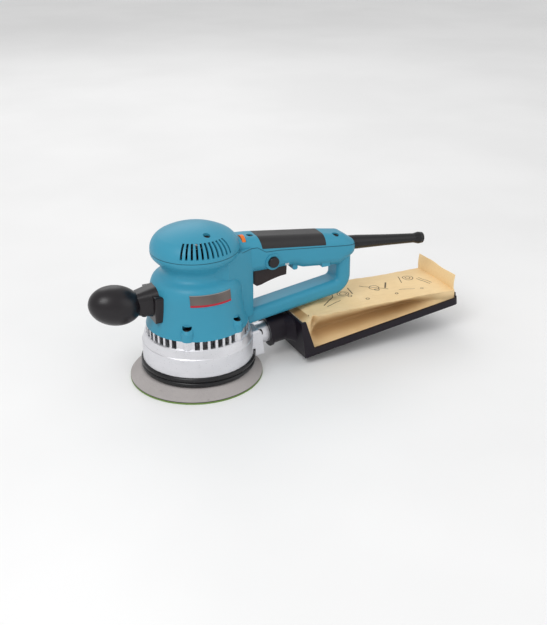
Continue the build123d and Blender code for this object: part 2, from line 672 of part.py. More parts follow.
def tray_cheeks():
    """The two stiffening cheeks that hold the front wall upright."""
    front_x = TRAY_X[0]
    low = TRAY_FLOOR_Z
    cheek = Plane.XZ * make_face(Polyline((front_x, low), (front_x + 15, low), (front_x + 6, TRAY_FRONT_TOP_Z),
                                          (front_x, TRAY_FRONT_TOP_Z), close=True))
    cheek = extrude(cheek, amount=TRAY_WALL)
    return both_sides(Pos(0, TRAY_HALF_WIDTH, 0) * cheek)


def tray_foot():
    return block((TRAY_X[1] - 9, TRAY_X[1] - 5), (-TRAY_HALF_WIDTH + 8, -TRAY_HALF_WIDTH + 20),
                 (TRAY_FLOOR_Z - 2.5, TRAY_FLOOR_Z + 1))


def seal_ring():
    """A rubber ring let into the collar, running on the pipe."""
    inner = PIPE_RADIUS + RUNNING_CLEARANCE
    start = COLLAR_X[0] + 5
    return along_x(inner + 2, start, start + 3) - along_x(inner, start - 1, start + 4)


def make_nozzle_seal():
    return tilted(seal_ring())


def make_bag_card():
    start = TRAY_X[0] + TRAY_WALL
    half = TRAY_HALF_WIDTH - TRAY_WALL - MOVING_GAP
    card = block((start, start + CARD_THICKNESS), (-half, half), (TRAY_FLOOR_Z + TRAY_WALL, TRAY_FRONT_TOP_Z - 1))
    return tilted(card - along_x(CARD_HOLE_RADIUS, start - 1, start + CARD_THICKNESS + 1))


def bag_block(inset):
    """The wedge-shaped outside of the bag, drawn in by a wall's thickness."""
    front_x = TRAY_X[0] + TRAY_WALL + CARD_THICKNESS
    rear_x = TRAY_X[1] - TRAY_WALL - MOVING_GAP
    half = TRAY_HALF_WIDTH - TRAY_WALL - MOVING_GAP
    low = TRAY_FLOOR_Z + TRAY_WALL
    points = [(front_x, low), (rear_x, low), (rear_x, BAG_REAR_TOP_Z), (front_x + 24, BAG_FRONT_TOP_Z),
              (front_x, BAG_FRONT_TOP_Z)]
    face = offset(make_face(Polyline(*points, close=True)), amount=-inset) if inset else make_face(
        Polyline(*points, close=True))
    body = extrude(Plane.XZ * face, amount=half - inset, both=True)
    return fillet(body.edges().filter_by(Axis.Z).group_by(Axis.X)[-1], TRAY_INNER_ROUNDING - inset)


def make_paper_bag():
    rear_x = TRAY_X[1] - TRAY_WALL - MOVING_GAP
    half = TRAY_HALF_WIDTH - TRAY_WALL - MOVING_GAP
    start = TRAY_X[0] + TRAY_WALL + CARD_THICKNESS
    bag = bag_block(0) - bag_block(BAG_WALL)
    bag = bag - along_x(CARD_HOLE_RADIUS, start - 1, start + 3)
    flap = block((rear_x - BAG_WALL, rear_x), (-half, half), (BAG_REAR_TOP_Z - 1, FLAP_TOP_Z))
    return tilted(bag + flap)


# ------------------------------------------------------------------ motor housing, dome and handle
def housing_body(grow):
    """The motor housing's outside, grown or drawn in by a distance."""
    outline = [(radius + grow, z) for radius, z in HOUSING_OUTLINE]
    wall = Spline(*outline)
    rest = Polyline(outline[-1], (0, SEAM_Z), (0, CASTING_TOP_Z), outline[0])
    return revolve(Plane.XZ * make_face(Curve() + [wall, rest]), Axis.Z)


def dome_body(inset):
    """The domed top: a shallow crown and a rounder shoulder, turned about the motor axis."""
    crown_z = DOME_BASE_Z + DOME_HEIGHT - DOME_CROWN_RADIUS
    rise = DOME_BASE_Z - crown_z
    shoulder = (DOME_CROWN_RADIUS ** 2 - LIP_RADIUS ** 2 - rise ** 2) / (2 * (DOME_CROWN_RADIUS - LIP_RADIUS))
    angle = degrees(atan2(rise, LIP_RADIUS - shoulder))
    side = LIP_RADIUS - inset
    foot = SEAM_Z - 1
    outline = [Polyline((0, foot), (side, foot), (side, DOME_BASE_Z)),
               CenterArc((LIP_RADIUS - shoulder, DOME_BASE_Z), shoulder - inset, 0, angle),
               CenterArc((0, crown_z), DOME_CROWN_RADIUS - inset, angle, 90 - angle),
               Line((0, DOME_BASE_Z + DOME_HEIGHT - inset), (0, foot))]
    return revolve(Plane.XZ * make_face(Curve() + outline), Axis.Z)


def grip_body(inset):
    """The upper bar of the handle, rounded all along, drawn in by a distance."""
    face = make_face(Polyline(*GRIP_FRONT, *GRIP_CORNERS, close=True))
    rounded = [vertex for vertex in face.vertices() if vertex.X > GRIP_FRONT[-1][0] + 1]
    face = fillet(rounded, GRIP_CORNER_RADIUS)
    if inset > 0:
        face = offset(face, amount=-inset)
    half_width = GRIP_HALF_WIDTH - inset
    body = extrude(Plane.XZ * face, amount=half_width, both=True)
    return fillet(side_edges(body, half_width), GRIP_ROUNDING - inset)


def bar_body(inset, start_x):
    """The lower and rear bars of the handle, swept round their corner."""
    slope = (BAR_CORNER[1] - BAR_START[1]) / (BAR_CORNER[0] - BAR_START[0])
    start = (start_x, 0, BAR_START[1] + slope * (start_x - BAR_START[0]))
    corner = (BAR_CORNER[0], 0, BAR_CORNER[1])
    path = FilletPolyline(start, corner, (BAR_TOP[0], 0, BAR_TOP[1]), radius=BAR_BEND)
    section = RectangleRounded(BAR_WIDTH - 2 * inset, BAR_DEPTH - 2 * inset, BAR_ROUNDING - inset)
    plane = Plane(origin=path @ 0, x_dir=(0, 1, 0), z_dir=path % 0)
    return sweep(plane * section, path=path)


def throat_body(inset):
    """The fairing that carries the housing's wall back to the handle and closes the finger gap."""
    x_high = THROAT_X[1] - inset
    root = THROAT_ROOT_HALF_WIDTH - inset
    wide = THROAT_SIDE[1] - inset
    plan = make_face(Polyline((THROAT_X[0], -wide), (THROAT_SIDE[0], -wide), (x_high, -root), (x_high, root),
                              (THROAT_SIDE[0], wide), (THROAT_X[0], wide), close=True))
    low = THROAT_BOTTOM_Z + inset
    web = Pos(0, 0, low) * extrude(plan, amount=THROAT_TOP_Z - inset - low)
    return fillet(web.edges().filter_by(Axis.Z).group_by(Axis.X)[-1], THROAT_ROUNDING - inset)


def hook_lip():
    lip = block(HOOK_LIP_X, (-GRIP_HALF_WIDTH + 6, GRIP_HALF_WIDTH - 6), (HOOK_LIP_Z, GRIP_LOW_Z + 1))
    return fillet(lip.edges().filter_by(Axis.Y).group_by(Axis.Z)[0], 2)


def case_recess_radius():
    return CASE_SCREW_HEAD_RADIUS + 0.6


def knob_bolt_axis(radius, start, end):
    return Pos(0, 0, KNOB_CENTRE[2] - 2) * along_x(radius, start, end)


def case_outside():
    body = housing_body(0) + dome_body(0) + grip_body(0)
    bars = bar_body(0, BAR_START[0]) + throat_body(0) + hook_lip()
    lobe = 0.8
    lobe_top = CASE_SCREW_HEAD_Z + 8
    for x, y, angle in boss_places():
        foot = disc(BOSS_RADIUS + lobe, CASTING_TOP_Z, CASE_SCREW_HEAD_Z, x, y)
        shoulder = Pos(x, y, CASE_SCREW_HEAD_Z) * loft([Circle(BOSS_RADIUS + lobe),
                                                        Pos(-x * 0.06, -y * 0.06, 8) * Circle(BOSS_RADIUS - 1)])
        body = body + foot + shoulder
    boss = button_axis(BUTTON_BOSS_RADIUS, -GRIP_HALF_WIDTH - 1.2, -GRIP_HALF_WIDTH + 8)
    return body + (bars - casting_body(-MOVING_GAP)) + boss


def button_axis(radius, start, end):
    """A round bar across the handle on the lock button's axis."""
    x, z = BUTTON_CENTRE
    return Pos(x, (start + end) / 2, z) * Rot(90, 0, 0) * Cylinder(radius, end - start)


def case_inside():
    cavity = housing_body(-CASE_WALL) + dome_body(CASE_WALL) + grip_body(CASE_WALL)
    return cavity + bar_body(CASE_WALL, BAR_CHAMBER_X) + throat_body(CASE_WALL)


def case_fittings():
    """Ribs, posts and ledges inside the casings."""
    low, high = ROTOR_CORE_Z
    parts = []
    for angle in (45, 135, 225, 315):
        rib = block((STATOR_RADIUS, 60), (-2, 2), (low - 3, high + 2))
        parts.append(around(angle, rib) & housing_body(-1))
    ledge = ring(30, 48, TOP_BEARING_Z - 8, TOP_BEARING_Z - 4)
    parts.append(ledge & housing_body(-1))
    for x, y, angle in boss_places():
        parts.append(disc(BOSS_RADIUS, CASTING_TOP_Z, CASE_SCREW_HEAD_Z, x, y))
        hood = disc(case_recess_radius() + CASE_SCREW_HOOD, CASE_SCREW_HEAD_Z,
                    CASE_SCREW_HEAD_Z + CASE_SCREW_RECESS + CASE_SCREW_HOOD, x, y)
        parts.append(hood & housing_body(-1))
    bolt_boss = knob_bolt_axis(8.5, -50, -STATOR_RADIUS - 2)
    parts.append(bolt_boss & housing_body(-1))
    return parts


def handle_posts():
    """Posts and webs of the lower half of the handle."""
    x, y, z = HANDLE_SCREWS[0]
    web = block((x - 2, x + 2), (-GRIP_HALF_WIDTH + 2, GRIP_HALF_WIDTH - 2), (128, 140))
    parts = [web, disc(4.2, 128, HANDLE_SEAM[1][1] - 2, x, y)]
    x, y, z = HANDLE_SCREWS[1]
    parts.append(disc(4.2, 108, 130, x, y))
    saddle = block(CLAMP_X, (-GRIP_HALF_WIDTH + 2, GRIP_HALF_WIDTH - 2), (108, CLAMP_Z[0]))
    parts.append(saddle - Pos(sum(CLAMP_X) / 2, 0, CLAMP_Z[0]) * Rot(0, 90, 0) * Cylinder(GUARD_BORE_RADIUS, 40))
    return parts


def dome_post_places():
    x, y = DOME_SCREW
    return [(x, -y), (x, y)]


def dome_posts():
    posts = []
    for x, y in dome_post_places():
        posts.append(disc(4.6, SEAM_Z + 6, DOME_BASE_Z + DOME_HEIGHT, x, y) & dome_body(1))
    return posts


def cover_screw_places():
    """Seats of the four cover screws, with the length of each shank."""
    places = [(x, y, DOME_SCREW_SEAT_Z, 22.0) for x, y in dome_post_places()]
    return places + [place + (HANDLE_SCREW_LENGTH,) for place in HANDLE_SCREWS]


def make_case():
    """Both halves of the casing, with every opening, before they are parted."""
    shell = case_outside() - case_inside()
    for piece in case_fittings() + handle_posts():
        shell = shell + piece
    for piece in dome_posts():
        shell = shell + piece
    shell = shell - disc(FAN_CHAMBER_RADIUS, CASTING_TOP_Z - 1, COOLING_FAN_Z[1] + 1.5)
    shell = shell - disc(BAFFLE_RADIUS, COOLING_FAN_Z[1] + 1, baffle_z()[1])
    for x, y, angle in boss_places():
        shell = shell - disc(CASE_SCREW_RADIUS, CASTING_TOP_Z - 1, CASE_SCREW_HEAD_Z + 1, x, y)
        shell = shell - disc(case_recess_radius(), CASE_SCREW_HEAD_Z, CASE_SCREW_HEAD_Z + CASE_SCREW_RECESS, x, y)
    for x, y, seat, length in cover_screw_places():
        shell = shell - disc(SMALL_SCREW_RADIUS, seat - length - 1, seat + 1, x, y)
        shell = shell - disc(SMALL_SCREW_HEAD_RADIUS + 0.5, seat, seat + 12, x, y)
    for cut in case_openings():
        shell = shell - cut
    return shell


def case_openings():
    """Trigger slot, dial window, button hole, guard hole, pin holes, knob bolt hole and vents."""
    x, y, z = DIAL_CENTRE
    cuts = [Pos(0, y, z) * along_x(DIAL_RADIUS + MOVING_GAP, x - DIAL_THICKNESS / 2 - MOVING_GAP,
                                   x + DIAL_THICKNESS / 2 + MOVING_GAP)]
    half = TRIGGER_HALF_WIDTH + TRIGGER_SIDE_GAP
    cuts.append(block(TRIGGER_SLOT_X, (-half, half), (GRIP_LOW_Z - 8, GRIP_LOW_Z + CASE_WALL + 1)))
    cuts.append(button_axis(BUTTON_RADIUS + 0.3, -GRIP_HALF_WIDTH - 4, -GRIP_HALF_WIDTH + CASE_WALL + 0.5))
    cuts.append(button_axis(BUTTON_RADIUS + BUTTON_COLLAR + 0.4, -GRIP_HALF_WIDTH + CASE_WALL,
                            -GRIP_HALF_WIDTH + CASE_WALL + BUTTON_COLLAR + BUTTON_TRAVEL + 0.6))
    cuts.append(guard_frame(along_x(GUARD_ROOT_RADIUS, -1, 30)))
    cuts.append(guard_frame(along_x(GUARD_FLANGE_RADIUS + RUNNING_CLEARANCE, *GUARD_FLANGE_X)))
    cuts.append(clamp_screw_holes())
    cuts.append(make_trigger_pin())
    cuts.append(knob_bolt_axis(KNOB_BOLT_RADIUS, -80, -30))
    return cuts + vent_slots()


def vent_slots():
    step = (VENT_ANGLES[1] - VENT_ANGLES[0]) / (VENT_COUNT - 1)
    slots = []
    for index in range(VENT_COUNT):
        slot = block((-VENT_WIDTH / 2, VENT_WIDTH / 2), (-LIP_RADIUS - 2, -LIP_RADIUS * 0.6), VENT_Z)
        near = around(VENT_ANGLES[0] + step * index, slot)
        slots.append(near)
        slots.append(mirror(near, Plane.XZ))
    return slots


def above_seam():
    """Everything above the joint line between the two halves of the casing."""
    left, right, top = -90.0, 230.0, 230.0
    points = [(left, SEAM_Z), (HANDLE_SEAM[0][0], SEAM_Z)] + HANDLE_SEAM
    points = points + [(right, HANDLE_SEAM[-1][1]), (right, top), (left, top)]
    return side_plate(points, 100)


def inlay_region():
    """The part of the handle's top that the rubber inlay covers."""
    start, end = INLAY_X
    front_z, rear_z = INLAY_EDGE_Z
    top = 170.0
    return side_plate([(start - 5, top), (start, front_z), (end, rear_z), (end, top)], 60)


def make_handle_inlay():
    return (grip_body(0) - grip_body(INLAY_THICKNESS)) & inlay_region()


def make_name_plate():
    band = housing_body(PLATE_THICKNESS) - housing_body(0)
    x, z = PLATE_CENTRE
    half_x = PLATE_SIZE[0] / 2
    half_z = PLATE_SIZE[1] / 2
    return band & block((x - half_x, x + half_x), (-80, -20), (z - half_z, z + half_z))


def baffle_z():
    return (COOLING_FAN_Z[1] + 1.5, COOLING_FAN_Z[1] + 1.5 + BAFFLE_THICKNESS)


def make_fan_baffle():
    return ring(BAFFLE_HOLE_RADIUS, BAFFLE_RADIUS, *baffle_z())


# ------------------------------------------------------------------ screws and bolts
def make_housing_screws():
    screw = pan_screw(CASE_SCREW_HEAD_RADIUS, CASE_SCREW_HEAD_HEIGHT, CASE_SCREW_RADIUS,
                      CASE_SCREW_HEAD_Z - CASE_SCREW_END_Z)
    return Compound(children=[Pos(x, y, CASE_SCREW_HEAD_Z) * screw for x, y, angle in boss_places()])


def make_cover_screws():
    screws = []
    for x, y, seat, length in cover_screw_places():
        screw = pan_screw(SMALL_SCREW_HEAD_RADIUS, SMALL_SCREW_HEAD_HEIGHT, SMALL_SCREW_RADIUS, length)
        screws.append(Pos(x, y, seat) * screw)
    return Compound(children=screws)


# ------------------------------------------------------------------ trigger, switch, button and dial
def make_trigger():
    low = Polyline(*TRIGGER_OUTLINE_LOW)
    curve = Spline(TRIGGER_OUTLINE_LOW[-1], (86.0, 100.4), TRIGGER_OUTLINE_REAR[0])
    rear = Polyline(*TRIGGER_OUTLINE_REAR, TRIGGER_OUTLINE_LOW[0])
    face = make_face(Curve() + [low, curve, rear])
    trigger = extrude(Plane.XZ * face, amount=TRIGGER_HALF_WIDTH, both=True)
    return trigger - trigger_axis(TRIGGER_PIN_RADIUS + RUNNING_CLEARANCE, 20)


def trigger_axis(radius, half_length):
    x, z = TRIGGER_PIVOT
    return Pos(x, 0, z) * Rot(90, 0, 0) * Cylinder(radius, half_length * 2)


def make_trigger_pin():
    return trigger_axis(TRIGGER_PIN_RADIUS, GRIP_HALF_WIDTH - CASE_WALL / 2)


def make_trigger_spring():
    x, low = TRIGGER_SPRING_PLACE
    return Pos(x, 0, low) * coil(2.6, 0.45, SWITCH_Z[0] - low - 0.2, 4)


def make_switch_body():
    body = block(SWITCH_X, (-SWITCH_HALF_WIDTH, SWITCH_HALF_WIDTH), SWITCH_Z)
    body = fillet(body.edges().filter_by(Axis.Y), 1.5)
    plunger = disc(2, SWITCH_Z[0] - 2, SWITCH_Z[0] + 1, SWITCH_X[0] + 12)
    return body + plunger


def make_switch_terminals():
    blades = []
    for y in (-6, -2, 2, 6):
        blades.append(block((SWITCH_X[1], SWITCH_X[1] + 7), (y - 0.4, y + 0.4), (SWITCH_Z[0] + 3, SWITCH_Z[1] - 3)))
    return Compound(children=blades)


def make_lock_button():
    button = button_axis(BUTTON_RADIUS, -GRIP_HALF_WIDTH - 4.2, -GRIP_HALF_WIDTH + 1)
    rim = button.edges().filter_by(GeomType.CIRCLE).group_by(Axis.Y)[0]
    button = fillet(rim, 1.2)
    inner_wall = -GRIP_HALF_WIDTH + CASE_WALL
    button = button + button_axis(BUTTON_RADIUS, -GRIP_HALF_WIDTH, inner_wall + 0.2)
    return button + button_axis(BUTTON_RADIUS + BUTTON_COLLAR, inner_wall + 0.1, inner_wall + BUTTON_COLLAR)


def make_speed_dial():
    x, y, z = DIAL_CENTRE
    half = DIAL_THICKNESS / 2
    wheel = along_x(DIAL_RADIUS, x - half, x + half)
    notch = Pos(0, 0, DIAL_RADIUS) * along_x(0.35, x - half - 1, x + half + 1)
    for index in range(30):
        wheel = wheel - Rot(index * 12, 0, 0) * notch
    wheel = wheel - along_x(DIAL_SHAFT_RADIUS + RUNNING_CLEARANCE, x - half - 1, x + half + 1)
    return Pos(0, y, z) * wheel


def make_speed_control():
    """The potentiometer that the dial turns on, standing on its circuit board."""
    x, y, z = DIAL_CENTRE
    face = x + DIAL_THICKNESS / 2 + MOVING_GAP
    shaft = Pos(0, y, z) * along_x(DIAL_SHAFT_RADIUS, x - DIAL_THICKNESS / 2 - 0.4, face + 1)
    return shaft + block((face, face + 3.6), (y - 4.6, y + 4.6), (BOARD_Z[1], z + 1.6))


def make_control_board():
    board = block(BOARD_X, (-13, 9), BOARD_Z)
    parts = [board]
    top = BOARD_Z[0]
    for x, y, size, height in ((47.6, 3, 2.6, 5.0), (48, -7, 2.2, 4.0), (54, 4.5, 2.6, 6.0)):
        parts.append(disc(size, top - height, top, x, y))
    return fuse_all(parts)


def fuse_all(parts):
    whole = parts[0]
    for piece in parts[1:]:
        whole = whole + piece
    return whole


# ------------------------------------------------------------------ cord guard and clamp
def guard_frame(shape):
    """The shape moved from the guard's own frame, X along the cord, to the tool's frame."""
    return Pos(*GUARD_ROOT) * Rot(0, GUARD_DROOP, 0) * shape


def make_cord_guard():
    root, middle, bead = GUARD_ROOT_RADIUS, GUARD_MID_RADIUS, GUARD_BEAD_RADIUS
    start, seat = GUARD_FLANGE_X
    end = GUARD_LENGTH
    outline = [(start, 0), (start, GUARD_FLANGE_RADIUS), (seat, GUARD_FLANGE_RADIUS), (seat, root), (16.0, root)]
    outline = outline + [(58.0, middle), (end - 12, middle - 0.9), (end - 5, bead), (end, bead - 0.6), (end, 0)]
    guard = revolve(make_face(Polyline(*outline, close=True)), Axis.X)
    return guard_frame(guard - along_x(GUARD_BORE_RADIUS, start - 1, end + 1))


def make_cord_clamp():
    clamp = block(CLAMP_X, (-12, 12), CLAMP_Z)
    clamp = fillet(clamp.edges().filter_by(Axis.X).group_by(Axis.Z)[-1], 1.2)
    middle = sum(CLAMP_X) / 2
    clamp = clamp - Pos(middle, 0, CLAMP_Z[0]) * Rot(0, 90, 0) * Cylinder(GUARD_BORE_RADIUS - 1.2, 40)
    return clamp - clamp_screw_holes()


def clamp_screw_holes():
    middle = sum(CLAMP_X) / 2
    return Compound(children=[disc(SMALL_SCREW_RADIUS, CLAMP_Z[0] - 8, CLAMP_Z[1] + 1, middle, y) for y in (-8, 8)])


def make_clamp_screws():
    screw = pan_screw(SMALL_SCREW_HEAD_RADIUS - 0.4, SMALL_SCREW_HEAD_HEIGHT, SMALL_SCREW_RADIUS, 10)
    middle = sum(CLAMP_X) / 2
    return Compound(children=[Pos(middle, y, CLAMP_Z[1]) * screw for y in (-8, 8)])


# ------------------------------------------------------------------ front knob
def egg(inset):
    """The knob's egg-shaped body, its blunt end to the rear."""
    reach = KNOB_RADIUS * 4
    radius = KNOB_RADIUS - inset
    front = Ellipse(KNOB_FRONT_LENGTH - inset, radius) & (Pos(-reach / 2, reach / 2) * Rectangle(reach, reach))
    rear = Ellipse(KNOB_REAR_LENGTH - inset, radius) & (Pos(reach / 2, reach / 2) * Rectangle(reach, reach))
    body = revolve(front, Axis.X) + revolve(rear, Axis.X)
    return Pos(*KNOB_CENTRE) * Rot(0, KNOB_TILT, 0) * body


def knob_arm():
    """The neck between knob and housing, flaring towards the housing."""
    start = KNOB_CENTRE[0] + 14
    plane = Plane(origin=(start, 0, KNOB_CENTRE[2] - 2), x_dir=(0, 1, 0), z_dir=(1, 0, 0))
    section = RectangleRounded(ARM_HALF_SIZE[0] * 2, ARM_HALF_SIZE[1] * 2, ARM_ROUNDING)
    return extrude(plane * section, amount=-44 - start, taper=-ARM_FLARE)


def knob_body():
    base = block((BASE_FRONT_X, -40), (-BASE_HALF_WIDTH, BASE_HALF_WIDTH), BASE_Z)
    base = fillet(base.edges().filter_by(Axis.X) + base.edges().filter_by(Axis.Z).group_by(Axis.X)[0], 3)
    body = egg(0) + knob_arm() + base
    body = body - housing_body(0)
    hollow = egg(KNOB_WALL) - block((KNOB_CENTRE[0] + 13, 0), (-60, 60), (0, 200))
    body = body - hollow
    body = body - knob_bolt_axis(KNOB_BOLT_RADIUS, -100, -30)
    low = ARM_UNDERSIDE_Z
    for x, y in knob_screw_places():
        body = body - disc(SMALL_SCREW_RADIUS, low - 1, low + 20, x, y)
        body = body - disc(SMALL_SCREW_HEAD_RADIUS + 0.3, low - 10, low + SMALL_SCREW_HEAD_HEIGHT + 0.6, x, y)
    return body


def knob_screw_places():
    return [(-63.0, -7.4), (-63.0, 7.4)]


def above_knob_seam():
    left, right, top = -140.0, -30.0, 200.0
    return side_plate([(left, 107), (-112, 103.5), (-84, 97.5), (right, 97.5), (right, top), (left, top)], 60)


def make_knob_screws():
    screws = []
    for x, y in knob_screw_places():
        screw = Rot(180, 0, 0) * pan_screw(SMALL_SCREW_HEAD_RADIUS, SMALL_SCREW_HEAD_HEIGHT, SMALL_SCREW_RADIUS, 16)
        screws.append(Pos(x, y, ARM_UNDERSIDE_Z + SMALL_SCREW_HEAD_HEIGHT + 0.6) * screw)
    return Compound(children=screws)


def make_knob_bolt():
    seat = KNOB_CENTRE[0] + 13
    head = knob_bolt_axis(KNOB_BOLT_RADIUS + 2.5, seat - 5, seat)
    socket = Pos(seat - 5, 0, KNOB_CENTRE[2] - 2) * Rot(0, 90, 0) * extrude(RegularPolygon(3.4, 6), amount=3)
    return head - socket + knob_bolt_axis(KNOB_BOLT_RADIUS, seat, -STATOR_RADIUS - 3)


# ------------------------------------------------------------------ every node
def build():
    """All nodes by name, in the row's frame."""
    tool = {}
    case = make_case()
    seam = above_seam()
    tool["motor_housing"] = case - seam
    tool["top_cover"] = (case & seam) - make_handle_inlay()
    tool["handle_inlay"] = make_handle_inlay()
    tool["name_plate"] = make_name_plate()
    tool["housing_screws"] = make_housing_screws()
    tool["cover_screws"] = make_cover_screws()
    tool["fan_housing"] = make_fan_housing()
    tool["dust_skirt"] = make_dust_skirt()
    tool["dust_nozzle"] = make_dust_nozzle()
    tool["nozzle_screws"] = make_nozzle_screws()
    tool["fan_baffle"] = make_fan_baffle()
    knob = knob_body()
    tool["front_grip_upper"] = knob & above_knob_seam()
    tool["front_grip_lower"] = knob - above_knob_seam()
    tool["front_grip_bolt"] = make_knob_bolt()
    tool["front_grip_screws"] = make_knob_screws()
    tool["lower_bearing"] = bearing(LOWER_BEARING_BORE, LOWER_BEARING_OUTSIDE, LOWER_BEARING_WIDTH, LOWER_BEARING_Z)
    tool["top_bearing"] = bearing(TOP_BEARING_BORE, TOP_BEARING_OUTSIDE, TOP_BEARING_WIDTH, TOP_BEARING_Z)
    tool["end_frame"] = make_end_frame()
    tool["stator_core"] = make_stator_core()
    tool["field_windings"] = make_field_windings()
    tool["brush_holders"] = make_brush_holders()
    tool["carbon_brushes"] = make_carbon_brushes()
    tool["brush_springs"] = make_brush_springs()
    tool["switch_body"] = make_switch_body()
    tool["switch_terminals"] = make_switch_terminals()
    tool["trigger_pin"] = make_trigger_pin()
    tool["trigger_spring"] = make_trigger_spring()
    tool["trigger"] = make_trigger()
    tool["lock_button"] = make_lock_button()
    tool["speed_dial"] = make_speed_dial()
    tool["speed_control"] = make_speed_control()
    tool["control_board"] = make_control_board()
    tool["cord_guard"] = make_cord_guard()
    tool["cord_clamp"] = make_cord_clamp()
    tool["clamp_screws"] = make_clamp_screws()
    tool["motor_shaft"] = make_motor_shaft()
    tool["rotor_core"] = make_rotor_core()
    tool["rotor_windings"] = make_rotor_windings()
    tool["commutator"] = make_commutator()
    tool["cooling_fan"] = make_cooling_fan()
    tool["dust_fan"] = make_dust_fan()
    tool["eccentric"] = make_eccentric()
    tool["balance_weight"] = make_balance_weight()
    tool["pad_bearing"] = pad_bearing()
    tool["bag_holder"] = make_bag_holder()
    tool["nozzle_seal"] = make_nozzle_seal()
    tool["bag_card"] = make_bag_card()
    tool["paper_bag"] = make_paper_bag()
    nodes = {name: Pos(orbit_radius(), 0, 0) * shape for name, shape in tool.items()}
    nodes["pad_spindle"] = make_pad_spindle()
    nodes["backing_plate"] = make_backing_plate()
    nodes["pad_foam"] = make_pad_foam()
    nodes["hook_face"] = make_hook_face()
    nodes["pad_washer"] = make_pad_washer()
    nodes["pad_bolt"] = make_pad_bolt()
    return nodes


os.makedirs("parts", exist_ok=True)
for node_name, node_shape in build().items():
    export_step(node_shape, "parts/" + node_name + ".step")
    print(node_name, round(node_shape.volume))
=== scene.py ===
# %% [markdown]
# # A two-handed orbital sander, dressed over its CAD frame
# The imported model gives every hard piece its shape and place. This lesson sets the camera and the
# light, writes the finishes one by one, and then models the soft pieces that a CAD solid only stands
# in for: the foam pad and the folded paper dust bag. The model is loaded first.

# %% Load the frame
import json
import math
import bmesh
import bpy
from mathutils import Matrix, Vector, noise


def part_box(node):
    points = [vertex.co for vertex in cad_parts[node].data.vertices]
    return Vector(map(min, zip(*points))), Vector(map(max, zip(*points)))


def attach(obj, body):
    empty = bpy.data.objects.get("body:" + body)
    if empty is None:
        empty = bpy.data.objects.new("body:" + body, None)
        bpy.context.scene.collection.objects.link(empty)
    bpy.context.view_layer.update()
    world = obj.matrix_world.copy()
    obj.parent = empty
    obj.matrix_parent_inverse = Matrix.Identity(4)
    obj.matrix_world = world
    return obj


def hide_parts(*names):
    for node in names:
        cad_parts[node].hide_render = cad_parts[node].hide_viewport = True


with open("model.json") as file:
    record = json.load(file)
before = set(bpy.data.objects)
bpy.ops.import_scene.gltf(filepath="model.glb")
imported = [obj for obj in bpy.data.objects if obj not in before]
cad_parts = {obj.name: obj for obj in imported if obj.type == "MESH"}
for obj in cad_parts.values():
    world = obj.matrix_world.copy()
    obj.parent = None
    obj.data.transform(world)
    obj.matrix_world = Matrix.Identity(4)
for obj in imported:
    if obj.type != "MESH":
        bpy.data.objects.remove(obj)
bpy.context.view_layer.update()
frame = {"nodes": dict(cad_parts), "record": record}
MM = 0.001

# %% [markdown]
# The camera stands off the front knob's side, a little above the tool, so that the knob, the dome, the
# handle and the bag all show. Its place comes from two angles and a distance round a target point,
# which is easier to adjust than three coordinates.

# %% Camera
AZIMUTH = math.radians(-25.5)
ELEVATION = math.radians(25.5)
DISTANCE = 1.1
LENS = 54.56
SENSOR_WIDTH = 36.0
TARGET = Vector((0.09715, 0.0, 0.0543))


def place_camera():
    away = Vector((math.sin(AZIMUTH) * math.cos(ELEVATION), -math.cos(AZIMUTH) * math.cos(ELEVATION),
                   math.sin(ELEVATION)))
    data = bpy.data.cameras.new("camera")
    data.lens = LENS
    data.sensor_width = SENSOR_WIDTH
    camera = bpy.data.objects.new("camera", data)
    bpy.context.scene.collection.objects.link(camera)
    camera.location = TARGET + away * DISTANCE
    camera.rotation_euler = (-away).to_track_quat("-Z", "Y").to_euler()
    bpy.context.scene.camera = camera
    return camera


camera = place_camera()
print("camera at", [round(value, 3) for value in camera.location])

# %% [markdown]
# A product shot wants a pale floor that runs out of sight and large, soft lights. One large lamp to
# the left and above gives the long highlights on the dome and the knob, a weaker one from the right
# fills the shadows, and the world's own pale light keeps the black plastics readable. The Standard
# view keeps the finishes' colours as they are written, where a filmic view would wash them out.

# %% Floor and light
FLOOR_HALF_WIDTH = 6.0
STUDIO_LIGHT = 0.72


def soft_light(name, place, size, power):
    data = bpy.data.lights.new(name, "AREA")
    data.shape = "SQUARE"
    data.size = size
    data.energy = power
    lamp = bpy.data.objects.new(name, data)
    bpy.context.scene.collection.objects.link(lamp)
    lamp.location = Vector(place)
    lamp.rotation_euler = (TARGET - lamp.location).to_track_quat("-Z", "Y").to_euler()
    return lamp


def link_piece(name, mesh_data):
    piece = bpy.data.objects.new(name, mesh_data)
    bpy.context.scene.collection.objects.link(piece)
    return piece


def make_floor():
    shape = bmesh.new()
    bmesh.ops.create_grid(shape, x_segments=1, y_segments=1, size=FLOOR_HALF_WIDTH)
    data = bpy.data.meshes.new("floor")
    shape.to_mesh(data)
    shape.free()
    return link_piece("floor", data)


floor = make_floor()
soft_light("key_light", (-1.0, -0.8, 1.5), 0.9, 14.0)
soft_light("fill_light", (1.5, -1.3, 0.9), 1.4, 4.0)
soft_light("back_light", (0.3, 1.6, 1.3), 1.2, 6.0)
world = bpy.data.worlds.new("studio")
bpy.context.scene.world = world
world.use_nodes = True
world.node_tree.nodes["Background"].inputs["Color"].default_value = (1.0, 1.0, 1.0, 1.0)
world.node_tree.nodes["Background"].inputs["Strength"].default_value = STUDIO_LIGHT
bpy.context.scene.view_settings.view_transform = "Standard"
print("floor and three soft lights")

# %% [markdown]
# Finishes are sums and products of a few patterns. A small class wraps a node's socket so that such
# sums can be written as plain arithmetic, and a second one holds a material and adds any other kind
# of node to it. Every pattern reads Object coordinates, because each piece's mesh is already in place.

